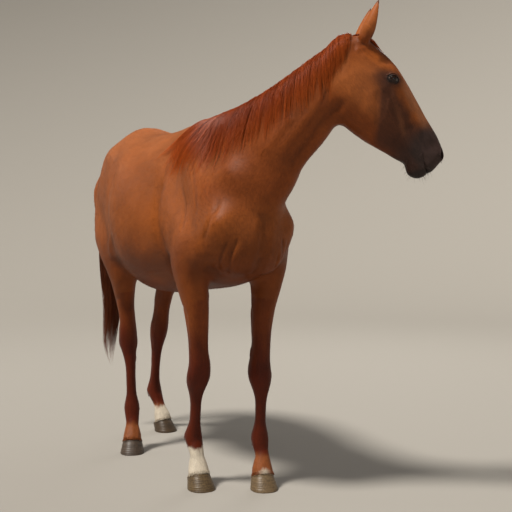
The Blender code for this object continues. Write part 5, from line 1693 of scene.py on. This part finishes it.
# where, how many, lean towards the nose, drop of the tip, shortest and longest
WHISKERS = ((chin, 85, 0.35, 0.5, 0.012, 0.034), (lip, 40, 0.25, 0.3, 0.008, 0.020))
for where, many, lean, drop, shortest, longest in WHISKERS:
    for index in random.choice(np.flatnonzero(where), many):
        way = normals[index] + lean * np.array(head_along)
        long = random.uniform(shortest, longest)
        hairs.append((points[index], way, way - (0, 0, drop), long, WHISKER_COLOUR))
for side in (LEFT, RIGHT):
    outward = np.array(eye_outward[side])
    long_way = np.array(EYE_LONG) * -side
    long_way = long_way - outward * outward.dot(long_way)
    long_way /= np.linalg.norm(long_way)
    upper = np.cross(outward, long_way)
    for a in np.linspace(-0.0165, 0.0165, 44):
        b = (LID_UPPER + 0.0006) * (1 - (a / LID_LENGTH) ** 2) ** 0.75
        ball = math.sqrt(EYE_RADIUS**2 - a * a - b * b) + 0.7 * LID_THICK
        root = np.array(eye_middle[side]) + a * long_way + b * upper + ball * outward
        way = outward + 0.15 * upper + 12 * a * long_way
        long = random.uniform(0.009, 0.014)
        hairs.append((root, way, way - 1.2 * upper + 0.4 * outward, long, LASH_COLOUR))
# pale hair fills the mouths of the ears
ear_up = np.array((0, -0.15, 1.0))
for index in random.choice(np.flatnonzero(ear_hollow > 0.6), 420):
    way = normals[index] + 0.6 * ear_up
    long = random.uniform(0.007, 0.015)
    hairs.append((points[index], way, ear_up + 0.2 * normals[index], long, EAR_HAIR_COLOUR))
singles = [single_hair(*hair[:4]) for hair in hairs]
whiskers = lock_lines("whiskers", singles)
painted(whiskers, [hair[4] for hair in hairs])
settings = {"Strands": 1, "Points": HAIR_POINTS, "Width": 0.0005, "Frizz": 0.001}
grown(whiskers, strands_tree, **settings, Shortest=0.9, Seed=21, Hair=line_hair)
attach(whiskers, "root")
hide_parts(*FLESH)

feathers = []
for (side, end), (toe, outer) in LIMBS.items():
    toe, outer = np.array(toe), np.array(outer)
    for _ in range(45):
        height = random.uniform(0.168, 0.212)
        swing = random.normal(0, 0.45)
        away = -toe * math.cos(swing) + outer * math.sin(swing)
        found = cast(np.array(limb_at(side, end, height)) + away * 0.2, -away)
        if found is not None:
            way, fall = away * 0.22 + (0, 0, -1), (0, 0, -1) + 0.25 * toe
            feathers.append((found[0], way, fall, random.uniform(0.009, 0.017)))
    # the coat falls over the upper rim of the hoof
    for _ in range(120):
        swing = random.uniform(0, math.tau)
        away = toe * math.cos(swing) + outer * math.sin(swing)
        start = np.array(limb_at(side, end, 0.06))
        start[2] = CORONET + 0.055 * math.cos(swing) * math.tan(CORONET_TILT) + 0.012
        found = cast(start + away * 0.2, -away)
        if found is not None:
            way, fall = away * 0.35 + (0, 0, -1), away * 0.45 + (0, 0, -1)
            feathers.append((found[0], way, fall, random.uniform(0.012, 0.019)))
singles = [single_hair(*hair) for hair in feathers]
feather = lock_lines("feather", singles)
painted(feather, coat_colour(np.array([hair[0] for hair in feathers])) * 1.1)
settings = {"Strands": 6, "Points": 4, "Width": 0.0006, "Frizz": 0.002}
grown(feather, strands_tree, **settings, Shortest=0.75, Seed=22, Hair=line_hair)
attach(feather, "root")
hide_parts(*FLESH)
